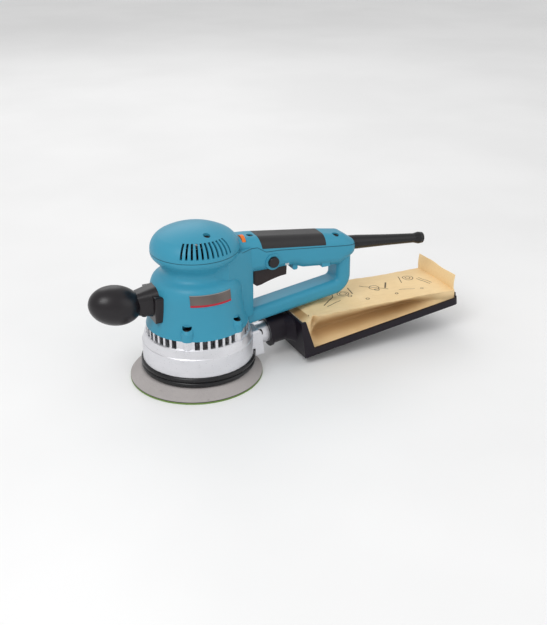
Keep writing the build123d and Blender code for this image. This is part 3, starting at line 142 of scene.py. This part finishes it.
# %% Shader arithmetic
class Value:
    """A socket that joins to other sockets or numbers with Python's operators."""

    def __init__(self, finish, socket):
        self.finish = finish
        self.socket = socket

    def __add__(self, other):
        return self.finish.maths("ADD", self, other)

    def __sub__(self, other):
        return self.finish.maths("SUBTRACT", self, other)

    def __rsub__(self, other):
        return self.finish.maths("SUBTRACT", other, self)

    def __mul__(self, other):
        return self.finish.maths("MULTIPLY", self, other)

    __radd__ = __add__
    __rmul__ = __mul__


class Finish:
    """One material: a Principled surface, and one method that adds any node."""

    def __init__(self, name):
        self.material = bpy.data.materials.new(name)
        self.material.use_nodes = True
        self.tree = self.material.node_tree
        self.tree.nodes.clear()
        self.surface = self.tree.nodes.new("ShaderNodeBsdfPrincipled")
        output = self.tree.nodes.new("ShaderNodeOutputMaterial")
        self.tree.links.new(self.surface.outputs[0], output.inputs["Surface"])
        self.place = self.node("ShaderNodeTexCoord", output="Object")
        self.x, self.y, self.z = [self.node("ShaderNodeSeparateXYZ", {}, {0: self.place}, axis)
                                  for axis in "XYZ"]

    def feed(self, socket, value):
        if isinstance(value, Value):
            self.tree.links.new(value.socket, socket)
        elif hasattr(value, "__len__") and len(value) == 3 and socket.type == "RGBA":
            socket.default_value = (*value, 1.0)
        else:
            socket.default_value = value

    def node(self, kind, settings=None, sockets=None, output=0):
        made = self.tree.nodes.new(kind)
        for name, value in (settings or {}).items():
            setattr(made, name, value)
        for name, value in (sockets or {}).items():
            self.feed(made.inputs[name], value)
        return Value(self, made.outputs[output])

    def maths(self, operation, *values, clamp=False):
        settings = {"operation": operation, "use_clamp": clamp}
        return self.node("ShaderNodeMath", settings, dict(enumerate(values)))

    def set(self, **values):
        for name, value in values.items():
            self.feed(self.surface.inputs[name.replace("_", " ")], value)
        return self.material


print("shader arithmetic ready")

# %% [markdown]
# Four patterns do most of the work: soft clouds for colour that wanders, a stretched cloud for
# brushing and fibres, a cell pattern for foam, and a line mask for seams and printing. Masks run from
# 0 to 1, and a colour mix takes one of them.

# %% Patterns
def clouds(finish, scale, detail=3.0, stretch=(1.0, 1.0, 1.0)):
    place = finish.node("ShaderNodeMapping", {}, {"Vector": finish.place, "Scale": stretch})
    return finish.node("ShaderNodeTexNoise", {}, {"Vector": place, "Scale": scale, "Detail": detail})


def blend(finish, mask, low, high):
    return finish.node("ShaderNodeMix", {"data_type": "RGBA"}, {0: mask, 6: low, 7: high}, 2)


def between(finish, value, low, high):
    """0 below low, 1 above high, smooth in between."""
    settings = {"interpolation_type": "SMOOTHSTEP"}
    sockets = {"Value": value, "From Min": low, "From Max": high}
    return finish.node("ShaderNodeMapRange", settings, sockets)


def line_mask(finish, distance, half_width):
    """1 where a distance is smaller than half the line's width."""
    return 1 - between(finish, finish.maths("ABSOLUTE", distance), half_width * 0.6, half_width * 1.4)


def bumped(finish, height, depth):
    return finish.node("ShaderNodeBump", {}, {"Height": height, "Strength": 1.0, "Distance": depth})


def scaled_colour(colour, factor):
    return tuple(channel * factor for channel in colour)


print("patterns ready")

# %% [markdown]
# The black and orange plastics share one recipe, and the teal casing has one much like it, with the
# joint line between its halves added. Spark-eroded tooling leaves a very fine grain, the colour wanders
# by a few percent, and handling polishes some places more than others. Long clouds make rub marks.

# %% Moulded plastics
def plastic(name, colour, roughness, gloss, grain=0.05, wander=0.06, rubbed=0.1):
    finish = Finish(name)
    wide = clouds(finish, 22.0)
    fine = clouds(finish, 1900.0, 2.0)
    rubs = between(finish, clouds(finish, 55.0, 4.0, (1.0, 6.0, 3.0)), 0.58, 0.78)
    base = blend(finish, wide, scaled_colour(colour, 1 - wander), scaled_colour(colour, 1 + wander))
    base = blend(finish, rubs * rubbed, base, scaled_colour(colour, 1.35))
    rough = roughness + (wide - 0.5) * 0.1 + fine * 0.06 - 0.03 + rubs * 0.06
    finish.set(Base_Color=base, Roughness=rough, Specular_IOR_Level=gloss,
               Normal=bumped(finish, fine, grain * MM))
    return finish


SEAM_TOP = 0.151
SEAM_STEP = 0.0045
SEAM_STEP_X = (0.0460, 0.0475)
SEAM_WIDTH = 0.34
# Each slope of the seam: its fall in metres, then the factor and the offset that turn x into the
# share of that fall, from 0 to 1.
SEAM_SLOPES = ((0.0069, 96.0, -6.605), (0.0006, 56.8, -4.496), (0.0108, 9.615, -0.9303))


def handle_seam_height(finish):
    """Height of the joint line between the casing's halves, falling in steps along the handle."""
    height = SEAM_TOP - SEAM_STEP * between(finish, finish.x, *SEAM_STEP_X)
    for fall, factor, offset in SEAM_SLOPES:
        height = height - fall * finish.maths("MULTIPLY_ADD", finish.x, factor, offset, clamp=True)
    return height


def casing_plastic():
    colour = (0.040, 0.275, 0.405)
    finish = Finish("teal_casing")
    wide = clouds(finish, 14.0)
    fine = clouds(finish, 1700.0, 2.0)
    rubs = between(finish, clouds(finish, 48.0, 5.0, (1.0, 5.0, 2.0)), 0.6, 0.8)
    groove = line_mask(finish, finish.z - handle_seam_height(finish), SEAM_WIDTH * MM)
    base = blend(finish, wide, scaled_colour(colour, 0.95), scaled_colour(colour, 1.06))
    base = blend(finish, rubs * 0.14, base, (0.12, 0.42, 0.56))
    base = blend(finish, groove * 0.85, base, (0.008, 0.045, 0.07))
    rough = 0.37 + (wide - 0.5) * 0.1 + fine * 0.05 + rubs * 0.07
    normal = bumped(finish, fine * 0.04 - groove * 0.35, MM)
    finish.set(Base_Color=base, Roughness=rough, Normal=normal, Specular_IOR_Level=0.3)
    return finish


finishes = {"teal_plastic": casing_plastic()}
for slot_name, colour, roughness, gloss in (("black_plastic", (0.018, 0.017, 0.019), 0.5, 0.3),
                                            ("knob_plastic", (0.010, 0.008, 0.010), 0.3, 0.38),
                                            ("trigger_plastic", (0.026, 0.018, 0.018), 0.42, 0.25),
                                            ("holder_plastic", (0.011, 0.008, 0.013), 0.38, 0.22),
                                            ("orange_plastic", (0.80, 0.19, 0.030), 0.34, 0.4)):
    finishes[slot_name] = plastic(slot_name, colour, roughness, gloss)
print("plastics:", sorted(finishes))

# %% [markdown]
# The fan housing and the dust outlet are die-cast aluminium. The skin is bright but slightly cloudy,
# with a fine orange-peel texture from the die, small pits, and faint streaks where the metal flowed.

# %% Cast aluminium
def cast_metal():
    finish = Finish("cast_aluminium")
    flow = clouds(finish, 30.0, 4.0, (1.0, 1.0, 2.5))
    peel = clouds(finish, 520.0, 3.0)
    pits = between(finish, clouds(finish, 900.0, 1.0), 0.68, 0.78)
    base = blend(finish, flow, (0.66, 0.66, 0.69), (0.84, 0.84, 0.87))
    base = blend(finish, pits * 0.6, base, (0.25, 0.25, 0.26))
    rough = 0.36 + (flow - 0.5) * 0.16 + peel * 0.1
    finish.set(Base_Color=base, Roughness=rough, Metallic=0.9,
               Normal=bumped(finish, peel * 0.05 - pits * 0.08, MM))
    return finish


finishes["cast_aluminium"] = cast_metal()
print("cast aluminium ready")

# %% [markdown]
# Machined and stamped metals inside the tool are seen through the slots and when it comes apart. Two
# recipes cover them: fine brushing, with a colour and a gloss for each metal, and level stripes for
# the stacked iron sheets and the copper windings.

# %% Worked metals
def brushed_metal(name, colour, roughness, stretch, depth=0.02):
    finish = Finish(name)
    lines = clouds(finish, 260.0, 3.0, stretch)
    patches = clouds(finish, 60.0)
    base = blend(finish, patches, scaled_colour(colour, 0.86), colour)
    rough = roughness + lines * 0.14 + (patches - 0.5) * 0.1
    finish.set(Base_Color=base, Roughness=rough, Metallic=1.0, Normal=bumped(finish, lines, depth * MM))
    return finish


def striped_metal(name, dark, light, pitch, roughness, metallic):
    """Sheets or wires lying one above the other, seen as fine level stripes."""
    finish = Finish(name)
    wave = finish.maths("SINE", finish.z * (2 * math.pi / pitch))
    stripe = wave * 0.5 + 0.5
    tone = clouds(finish, 90.0)
    base = blend(finish, stripe * 0.7 + tone * 0.3, dark, light)
    finish.set(Base_Color=base, Roughness=roughness + tone * 0.12, Metallic=metallic,
               Normal=bumped(finish, stripe, pitch * 0.25))
    return finish


finishes["bright_steel"] = brushed_metal("bright_steel", (0.62, 0.62, 0.63), 0.24, (1.0, 1.0, 14.0))
finishes["black_steel"] = brushed_metal("black_steel", (0.035, 0.034, 0.036), 0.36, (3.0, 3.0, 3.0))
finishes["brass"] = brushed_metal("brass", (0.72, 0.50, 0.20), 0.28, (1.0, 12.0, 1.0))
finishes["laminated_iron"] = striped_metal("laminated_iron", (0.07, 0.07, 0.075), (0.30, 0.30, 0.31),
                                           0.5 * MM, 0.42, 0.9)
finishes["copper"] = striped_metal("copper", (0.28, 0.09, 0.04), (0.75, 0.33, 0.16), 0.8 * MM, 0.25, 1.0)
print("metals:", [name for name in finishes if "plastic" not in name])

# %% [markdown]
# Two rubbers share one recipe. The dust skirt and the cord guard are a smooth, glossy compound, and
# the handle's inlay is softer, with a very fine matt grain that still shows a long highlight. A
# dusting of pale specks keeps black rubber from looking like a hole.

# %% Rubber
def rubber(name, colour, roughness, grain_scale, grain_depth, dust, gloss=0.3):
    finish = Finish(name)
    wide = clouds(finish, 40.0)
    grain = clouds(finish, grain_scale, 2.0)
    specks = between(finish, clouds(finish, 700.0, 1.0), 0.70, 0.78)
    base = blend(finish, wide, colour, scaled_colour(colour, 1.5))
    base = blend(finish, specks * dust, base, (0.35, 0.33, 0.31))
    finish.set(Base_Color=base, Roughness=roughness + (wide - 0.5) * 0.12 + specks * 0.1,
               Specular_IOR_Level=gloss, Normal=bumped(finish, grain, grain_depth * MM))
    return finish


finishes["black_rubber"] = rubber("black_rubber", (0.010, 0.010, 0.011), 0.27, 900.0, 0.02, 0.05)
finishes["inlay_rubber"] = rubber("inlay_rubber", (0.020, 0.019, 0.020), 0.36, 2600.0, 0.06, 0.03)
print("rubbers:", [name for name in finishes if "rubber" in name])

# %% [markdown]
# The name plate is a dark foil with a thin red rule along its foot and nothing written on it. The
# rule is a mask on height. Pressed carbon, the lacquered circuit board and the bag's card are simple:
# a base colour broken up by specks, tracks or fibres.

# %% Plate, carbon, board and card
RULE_HEIGHT = 2.0
PLATE_EDGE = 0.6


def plate_foil():
    finish = Finish("plate_foil")
    low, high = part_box("name_plate")
    sheen = clouds(finish, 22.0, 1.0, (2.0, 1.0, 1.0))
    brushing = clouds(finish, 500.0, 2.0, (0.15, 1.0, 4.0))
    rule = 1 - between(finish, finish.z, low.z + RULE_HEIGHT * MM, low.z + (RULE_HEIGHT + 0.4) * MM)
    edge = between(finish, finish.z, high.z - PLATE_EDGE * MM, high.z - (PLATE_EDGE - 0.2) * MM)
    base = blend(finish, sheen, (0.060, 0.047, 0.045), (0.20, 0.165, 0.15))
    base = blend(finish, rule, base, (0.42, 0.012, 0.030))
    base = blend(finish, edge, base, (0.30, 0.28, 0.27))
    finish.set(Base_Color=base, Roughness=0.28 + brushing * 0.14, Metallic=0.35,
               Normal=bumped(finish, brushing, 0.01 * MM))
    return finish


def speckled(name, dark, light, scale, low, high, roughness, depth):
    finish = Finish(name)
    grain = clouds(finish, scale, 3.0)
    mask = between(finish, grain, low, high)
    finish.set(Base_Color=blend(finish, mask, dark, light), Roughness=roughness + grain * 0.1,
               Normal=bumped(finish, grain, depth * MM))
    return finish


finishes["plate_foil"] = plate_foil()
finishes["carbon"] = speckled("carbon", (0.012, 0.012, 0.013), (0.06, 0.06, 0.065), 1500.0,
                              0.5, 0.7, 0.5, 0.05)
finishes["circuit_board"] = speckled("circuit_board", (0.01, 0.09, 0.04), (0.06, 0.26, 0.10), 420.0,
                                     0.52, 0.55, 0.3, 0.03)
finishes["grey_card"] = speckled("grey_card", (0.30, 0.22, 0.14), (0.55, 0.44, 0.30), 350.0,
                                 0.3, 0.7, 0.85, 0.08)
print("plate, carbon, board and card ready")

# %% [markdown]
# Closed-cell foam is a mass of tiny skinned bubbles. Cells of a Voronoi pattern give the bubbles, each
# darker towards its edge, and a wider cloud makes the skin uneven. Along the foot of the pad runs the
# dark glue line that holds the hook layer. The hook layer itself is a mat of short green loops.

# %% Foam and hook layer
GLUE_LINE_TOP = 2.5


def foam_skin():
    finish = Finish("grey_foam")
    cells = finish.node("ShaderNodeTexVoronoi", {}, {"Vector": finish.place, "Scale": 1100.0})
    wide = clouds(finish, 35.0, 4.0)
    marks = between(finish, clouds(finish, 120.0, 3.0, (1.0, 1.0, 3.0)), 0.66, 0.76)
    glue = 1 - between(finish, finish.z, GLUE_LINE_TOP * MM, (GLUE_LINE_TOP + 0.6) * MM)
    base = blend(finish, wide, (0.36, 0.335, 0.33), (0.47, 0.44, 0.43))
    base = blend(finish, cells * 0.35, base, (0.24, 0.22, 0.215))
    base = blend(finish, marks * 0.3, base, (0.17, 0.15, 0.14))
    base = blend(finish, glue, base, (0.05, 0.045, 0.042))
    finish.set(Base_Color=base, Roughness=0.86 + (wide - 0.5) * 0.1,
               Normal=bumped(finish, cells, 0.18 * MM))
    return finish


def hook_layer():
    finish = Finish("green_hook")
    loops = clouds(finish, 1500.0, 3.0)
    tufts = finish.node("ShaderNodeTexVoronoi", {}, {"Vector": finish.place, "Scale": 700.0})
    base = blend(finish, loops, (0.07, 0.14, 0.03), (0.24, 0.36, 0.10))
    finish.set(Base_Color=base, Roughness=0.9 - loops * 0.1,
               Normal=bumped(finish, loops - tufts * 0.5, 0.3 * MM))
    return finish


finishes["grey_foam"] = foam_skin()
finishes["green_hook"] = hook_layer()
print("foam and hook layer ready")

# %% [markdown]
# Kraft paper has long fibres, a mottled warm tan and a soft sheen on its creases. The print on the
# top panel is only line work with no meaning: rings and short strokes, in brown-black. Each mark is a
# distance turned into a thin line, measured in the bag's own tilted plane, and a last mask on height
# keeps the print off the gussets, which get painted shade that darkens towards their folds.

# %% Kraft paper
TILT = math.radians(7.5)
OUTLET = Vector((0.08475, 0.0, 0.033))
# Marks in millimetres, along the bag from the outlet and across it. A ring has a centre and a radius,
# and a stroke has a start, an end and half its width.
RINGS = (((108, 2), 7.0), ((108, 2), 4.2), ((112, -8), 2.2), ((152, 4), 6.0), ((152, -3), 2.8),
         ((205, 12), 6.5), ((205, 12), 3.0), ((128, -22), 2.0), ((168, -22), 1.6), ((205, -20), 1.6))
STROKES = (((72, -18), (92, -2), 0.6), ((74, -22), (96, -14), 0.5), ((92, -2), (98, 12), 0.5),
           ((118, -4), (122, 16), 0.7), ((138, 16), (166, -6), 0.5), ((164, -2), (172, 10), 1.0),
           ((176, -14), (196, -18), 0.45), ((196, 20), (190, 2), 0.5), ((214, 6), (222, -12), 0.55),
           ((218, 8), (226, -10), 0.5))
STROKE_FADE = 0.2
# The top panel's height over the outlet's axis, in metres: its value at the outlet, and how much it
# changes with each metre along the bag.
PANEL_RISE = 0.0270
PANEL_SLOPE = -0.1503
PRINT_EDGE = (-3.4, -2.6)
# Painted shade in the gussets: full within the first distance from the bag's middle, in millimetres, gone
# beyond the second.
FOLD_REACH = (20, 37)


def along_bag(finish):
    """Distance along the outlet's tilted axis, from the outlet's reference point."""
    return (finish.x - OUTLET.x) * math.cos(TILT) + (finish.z - OUTLET.z) * math.sin(TILT)


def ring_mark(finish, along, centre, radius, width=0.5):
    across = finish.y - centre[1] * MM
    ahead = along - centre[0] * MM
    reach = finish.maths("SQRT", ahead * ahead + across * across)
    return line_mask(finish, reach - radius * MM, width * MM)


def bar_mark(finish, along, start, end, half_width):
    """A straight stroke between two points of the top panel."""
    run = Vector(end) - Vector(start)
    length = run.length
    run.normalize()
    ahead = (along - start[0] * MM) * run.x + (finish.y - start[1] * MM) * run.y
    across = (finish.y - start[1] * MM) * run.x - (along - start[0] * MM) * run.y
    started = between(finish, ahead, 0.0, STROKE_FADE * MM)
    ended = between(finish, ahead, length * MM, (length + STROKE_FADE) * MM)
    inside = started * (1 - ended)
    return line_mask(finish, across, half_width * MM) * inside


def kraft_paper():
    finish = Finish("kraft_paper")
    fibres = clouds(finish, 240.0, 5.0, (0.35, 1.6, 1.6))
    mottle = clouds(finish, 28.0, 4.0)
    creases = between(finish, clouds(finish, 70.0, 2.0, (1.0, 0.4, 1.0)), 0.62, 0.7)
    base = blend(finish, mottle, (0.88, 0.64, 0.33), (0.97, 0.77, 0.46))
    base = blend(finish, fibres * 0.35, base, (0.55, 0.33, 0.14))
    base = blend(finish, creases * 0.18, base, (0.95, 0.75, 0.48))
    along = along_bag(finish)
    marks = 0
    for centre, radius in RINGS:
        marks = ring_mark(finish, along, centre, radius) + marks
    for start, end, half_width in STROKES:
        marks = bar_mark(finish, along, start, end, half_width) + marks
    height = (finish.z - OUTLET.z) * math.cos(TILT) - (finish.x - OUTLET.x) * math.sin(TILT)
    panel = PANEL_RISE + along * PANEL_SLOPE
    on_top = between(finish, height - panel, PRINT_EDGE[0] * MM, PRINT_EDGE[1] * MM)
    marks = marks * on_top
    reach = finish.maths("ABSOLUTE", finish.y)
    # Painted shade: below the top panel the paper is darkened towards the gussets' folds, where shadow
    # falls inside the bag.
    fold_shade = (1 - between(finish, reach, FOLD_REACH[0] * MM, FOLD_REACH[1] * MM)) * (1 - on_top)
    base = blend(finish, fold_shade * 0.9, base, (0.40, 0.22, 0.08))
    printed = finish.maths("MULTIPLY", marks, 0.92, clamp=True)
    base = blend(finish, printed, base, (0.035, 0.022, 0.016))
    finish.set(Base_Color=base, Roughness=0.72 + (mottle - 0.5) * 0.12,
               Normal=bumped(finish, fibres * 0.5 + creases * 0.3, 0.12 * MM))
    return finish


finishes["kraft_paper"] = kraft_paper()
print("finishes:", len(finishes))

# %% [markdown]
# The studio floor is a pale, almost matt sheet. The colour wanders so little that it reads as plain.

# %% Dress the floor and every CAD node
floor_finish = speckled("studio_floor", (0.84, 0.84, 0.84), (0.88, 0.88, 0.88), 3.0, 0.3, 0.7, 0.6, 0.02)
floor.data.materials.append(floor_finish.material)
slot_of = {row["node"]: row["material_slot"] for row in frame["record"]["subparts"]}
for node_name, node in frame["nodes"].items():
    node.data.materials.clear()
    node.data.materials.append(finishes[slot_of[node_name]].material)
print("dressed", len(slot_of), "CAD nodes")

# %% [markdown]
# The foam pad is turned: one profile spun once round the pad's axis. Its upper edge is rounded where
# the foam was cut hot, its flank sags in a little between the two edges, and the foot stays crisp on
# the hook layer. The dust holes are cut with a Boolean modifier from a set of round bars.

# %% Foam pad
SPIN_STEPS = 180
FOAM_TOP_RADIUS = 62.0
DUST_HOLES = 6
DUST_HOLE_CIRCLE_RADIUS = 40.0
DUST_HOLE_RADIUS = 5.0
BOLT_HOLE_RADIUS = 11.0
CUTTER_OVERSHOOT = 5


def spun(shape, outline):
    """Spins an outline of radius and height, in millimetres, once round the Z axis."""
    points = [shape.verts.new((radius * MM, 0.0, height * MM)) for radius, height in outline]
    edges = [shape.edges.new(pair) for pair in zip(points, points[1:])]
    bmesh.ops.spin(shape, geom=points + edges, cent=(0, 0, 0), axis=(0, 0, 1), angle=2 * math.pi,
                   steps=SPIN_STEPS, use_merge=True, use_duplicate=False)
    bmesh.ops.remove_doubles(shape, verts=shape.verts, dist=1e-6)
    bmesh.ops.recalc_face_normals(shape, faces=shape.faces)


def mesh_piece(name, shape, finish):
    data = bpy.data.meshes.new(name)
    shape.to_mesh(data)
    shape.free()
    for face in data.polygons:
        face.use_smooth = True
    piece = link_piece(name, data)
    data.materials.append(finish.material)
    return piece


def apply_modifiers(piece):
    depsgraph = bpy.context.evaluated_depsgraph_get()
    finished = bpy.data.meshes.new_from_object(piece.evaluated_get(depsgraph))
    piece.modifiers.clear()
    piece.data = finished


def hole_bars(low, high):
    """Round bars through the pad: six dust holes and the bolt's hole in the middle."""
    shape = bmesh.new()
    places = [(0.0, 0.0, BOLT_HOLE_RADIUS)]
    for index in range(DUST_HOLES):
        turn = math.radians(360 / DUST_HOLES * index)
        places.append((DUST_HOLE_CIRCLE_RADIUS * math.cos(turn), DUST_HOLE_CIRCLE_RADIUS * math.sin(turn),
                       DUST_HOLE_RADIUS))
    for x, y, radius in places:
        matrix = Matrix.Translation((x * MM, y * MM, (low + high) / 2 * MM))
        bmesh.ops.create_cone(shape, cap_ends=True, segments=48, radius1=radius * MM, radius2=radius * MM,
                              depth=(high - low) * MM, matrix=matrix)
    return shape


def make_foam_pad():
    low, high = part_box("pad_foam")
    foot = low.z / MM
    top = high.z / MM
    edge = high.x / MM
    outline = [(0.0, foot), (edge * 0.5, foot), (edge - 0.5, foot), (edge - 0.1, foot + 0.25),
               (edge, foot + 0.9), (edge - 0.5, foot + 1.6), (edge - 4.8, foot + 4.4),
               (edge - 8.6, foot + 7.2), (FOAM_TOP_RADIUS + 2.0, top - 1.3),
               (FOAM_TOP_RADIUS + 1.2, top - 0.4), (FOAM_TOP_RADIUS, top),
               (56.0, top), (30.0, top), (0.0, top)]
    shape = bmesh.new()
    spun(shape, outline)
    pad = mesh_piece("foam_pad", shape, finishes["grey_foam"])
    bars = hole_bars(foot - CUTTER_OVERSHOOT, top + CUTTER_OVERSHOOT)
    cutter = mesh_piece("hole_cutter", bars, finishes["grey_foam"])
    cut = pad.modifiers.new("holes", "BOOLEAN")
    cut.operation = "DIFFERENCE"
    cut.solver = "EXACT"
    cut.object = cutter
    apply_modifiers(pad)
    bpy.data.objects.remove(cutter)
    pad.data.set_sharp_from_angle(angle=math.radians(35))
    return pad


foam_pad = make_foam_pad()
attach(foam_pad, "pad")
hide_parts("pad_foam")
print("foam pad:", len(foam_pad.data.polygons), "faces")

# %% [markdown]
# A disposable dust bag is one paper tube with a gusset folded into each side, glued flat at its far
# end. It is built the way it is folded: a ring of points round the bag's mouth is extruded again and
# again towards the far end, and each new ring is laid on that place's cross-section. The top panel
# sinks towards the rear, the gussets close, and slow noise buckles the paper.

# %% Paper bag
BAG_START = 34.4
BAG_END = 239.6
BAG_HALF_WIDTH = 38.7
BAG_FLOOR = -25.2
BAG_STEPS = 74
TOP_POINTS = 22
SIDE_POINTS = 12
FOLD_SHARE = 0.64
GUSSET_DEPTH = 22.0
GUSSET_CLOSES_FROM = 165
PANEL_SINKS_FROM = 60
PANEL_DROP = 27.0
PLEAT_PLACE = 50.0
PLEAT_WIDTH = 4.0
PLEAT_DEPTH = 7.0
HELD_LENGTH = 8


def tilted(point):
    """A point of the outlet's tilted frame, in millimetres, to the tool's frame, in metres."""
    x, y, z = point
    return OUTLET + Matrix.Rotation(-TILT, 3, "Y") @ Vector((x, y, z)) * MM


def ease(value):
    value = max(0.0, min(1.0, value))
    return value * value * (3 - 2 * value)


def top_height(along):
    """Height of the top panel over the bag's length."""
    rise = 13.5 + 4.5 * ease((along - BAG_START) / 16)
    fall = PANEL_DROP * max(0.0, (along - PANEL_SINKS_FROM) / (BAG_END - PANEL_SINKS_FROM))
    return rise - fall


def gusset_depth(along):
    opening = ease((along - BAG_START) / 26)
    closing = 1 - ease((along - GUSSET_CLOSES_FROM) / 72)
    return 1.5 + GUSSET_DEPTH * opening * closing


def section(along):
    """Points round the bag at one place: top panel, near gusset, floor and far gusset."""
    top = top_height(along)
    depth = gusset_depth(along)
    points = []
    for index in range(TOP_POINTS):
        across = -1 + 2 * index / (TOP_POINTS - 1)
        crown = 1.3 * (1 - across * across)
        points.append((BAG_HALF_WIDTH * across, top + crown, 1.0))
    sides = []
    for index in range(1, SIDE_POINTS):
        share = index / SIDE_POINTS
        fold = share / FOLD_SHARE if share < FOLD_SHARE else (1 - share) / (1 - FOLD_SHARE)
        sides.append((BAG_HALF_WIDTH - depth * fold ** 0.9, top + (BAG_FLOOR - top) * share, 0.7))
    points += sides
    for index in range(TOP_POINTS // 2):
        across = 1 - 2 * index / (TOP_POINTS // 2 - 1)
        points.append(((BAG_HALF_WIDTH - 0.6) * across, BAG_FLOOR, 0.0))
    points += [(-across, height, loose) for across, height, loose in reversed(sides)]
    return points


def buckle(along, across, height):
    """Slow waves and small creases of stiff paper."""
    place = Vector((along / 34.0, across / 26.0, height / 40.0))
    wave = noise.noise(place)
    crease = noise.noise(place * 3.1 + Vector((7.0, 3.0, 1.0)))
    sharp = 1 - abs(noise.noise(place * 1.7 + Vector((2.0, 9.0, 4.0)))) * 2
    return wave * 1.5 + crease * 0.5 + max(0.0, sharp - 0.75) * 1.6


def lay_ring(points, along):
    for vertex, (across, height, loose) in zip(points, section(along)):
        lift = buckle(along, across, height) * loose
        drift = noise.noise(Vector((along / 22.0, height / 15.0, 5.0 + math.copysign(3.0, across))))
        swing = drift * 1.2 * loose
        held = ease((along - BAG_START) / HELD_LENGTH) * ease((BAG_END - along) / HELD_LENGTH)
        at_pleat = math.exp(-((along - PLEAT_PLACE) / PLEAT_WIDTH) ** 2)
        pleat = PLEAT_DEPTH * at_pleat * ease((height + 12) / 26) * (abs(across) > 30)
        inward = -math.copysign(1.0, across) * (abs(swing) + pleat) * held
        vertex.co = tilted((along, across + inward, height + lift * held))


def make_paper_bag():
    shape = bmesh.new()
    ring = [shape.verts.new((0, 0, 0)) for point in section(BAG_START)]
    edges = [shape.edges.new((a, b)) for a, b in zip(ring, ring[1:] + ring[:1])]
    lay_ring(ring, BAG_START)
    bmesh.ops.contextual_create(shape, geom=edges)
    for step in range(1, BAG_STEPS + 1):
        along = BAG_START + (BAG_END - BAG_START) * step / BAG_STEPS
        made = bmesh.ops.extrude_edge_only(shape, edges=edges)["geom"]
        edges = [item for item in made if isinstance(item, bmesh.types.BMEdge) and
                 all(len(vertex.link_faces) <= 2 for vertex in item.verts) and item.is_boundary]
        fresh = {vertex for edge in edges for vertex in edge.verts}
        links = {edge.other_vert(vertex): vertex for vertex in fresh for edge in vertex.link_edges
                 if edge.other_vert(vertex) not in fresh}
        ring = [links[vertex] for vertex in ring]
        lay_ring(ring, along)
    bmesh.ops.contextual_create(shape, geom=edges)
    bmesh.ops.triangulate(shape, faces=[face for face in shape.faces if len(face.verts) > 4])
    bmesh.ops.recalc_face_normals(shape, faces=shape.faces)
    return mesh_piece("dust_bag", shape, finishes["kraft_paper"])


dust_bag = make_paper_bag()
dust_bag.data.set_sharp_from_angle(angle=math.radians(38))
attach(dust_bag, "dust_unit")
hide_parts("paper_bag")
print("paper bag:", len(dust_bag.data.polygons), "faces")

# %% [markdown]
# The bag's glued end stands up behind the holder as a stiff double flap. It is a grid of paper with
# a crease across one third, leaning back a little, and Solidify gives it the thickness of two sheets.

# %% End flap
FLAP_FOOT = -11.5
FLAP_HEIGHT = 22.0
FLAP_LEAN = 2.8
FLAP_THICKNESS = 0.9


def make_flap():
    shape = bmesh.new()
    bmesh.ops.create_grid(shape, x_segments=30, y_segments=8, size=0.5)
    for vertex in shape.verts:
        across = vertex.co.x * 2
        up = vertex.co.y + 0.5
        fold = 1.4 * (1 - min(1.0, abs(across - 0.42) / 0.5))
        wave = noise.noise(Vector((across * 1.6, up * 0.8, 3.0))) * 0.8
        bow = 1.0 * math.sin(math.pi * up)
        x = BAG_END - 1.4 + up * FLAP_LEAN + fold * up - bow + wave * up
        vertex.co = tilted((x, across * BAG_HALF_WIDTH, FLAP_FOOT + up * (FLAP_HEIGHT + 0.6 * wave)))
    piece = mesh_piece("bag_flap", shape, finishes["kraft_paper"])
    wall = piece.modifiers.new("sheets", "SOLIDIFY")
    wall.thickness = FLAP_THICKNESS * MM
    wall.offset = 0.0
    edge = piece.modifiers.new("edge", "BEVEL")
    edge.width = 0.2 * MM
    edge.segments = 2
    apply_modifiers(piece)
    return piece


bag_flap = make_flap()
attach(bag_flap, "dust_unit")
print("flap:", len(bag_flap.data.polygons), "faces")
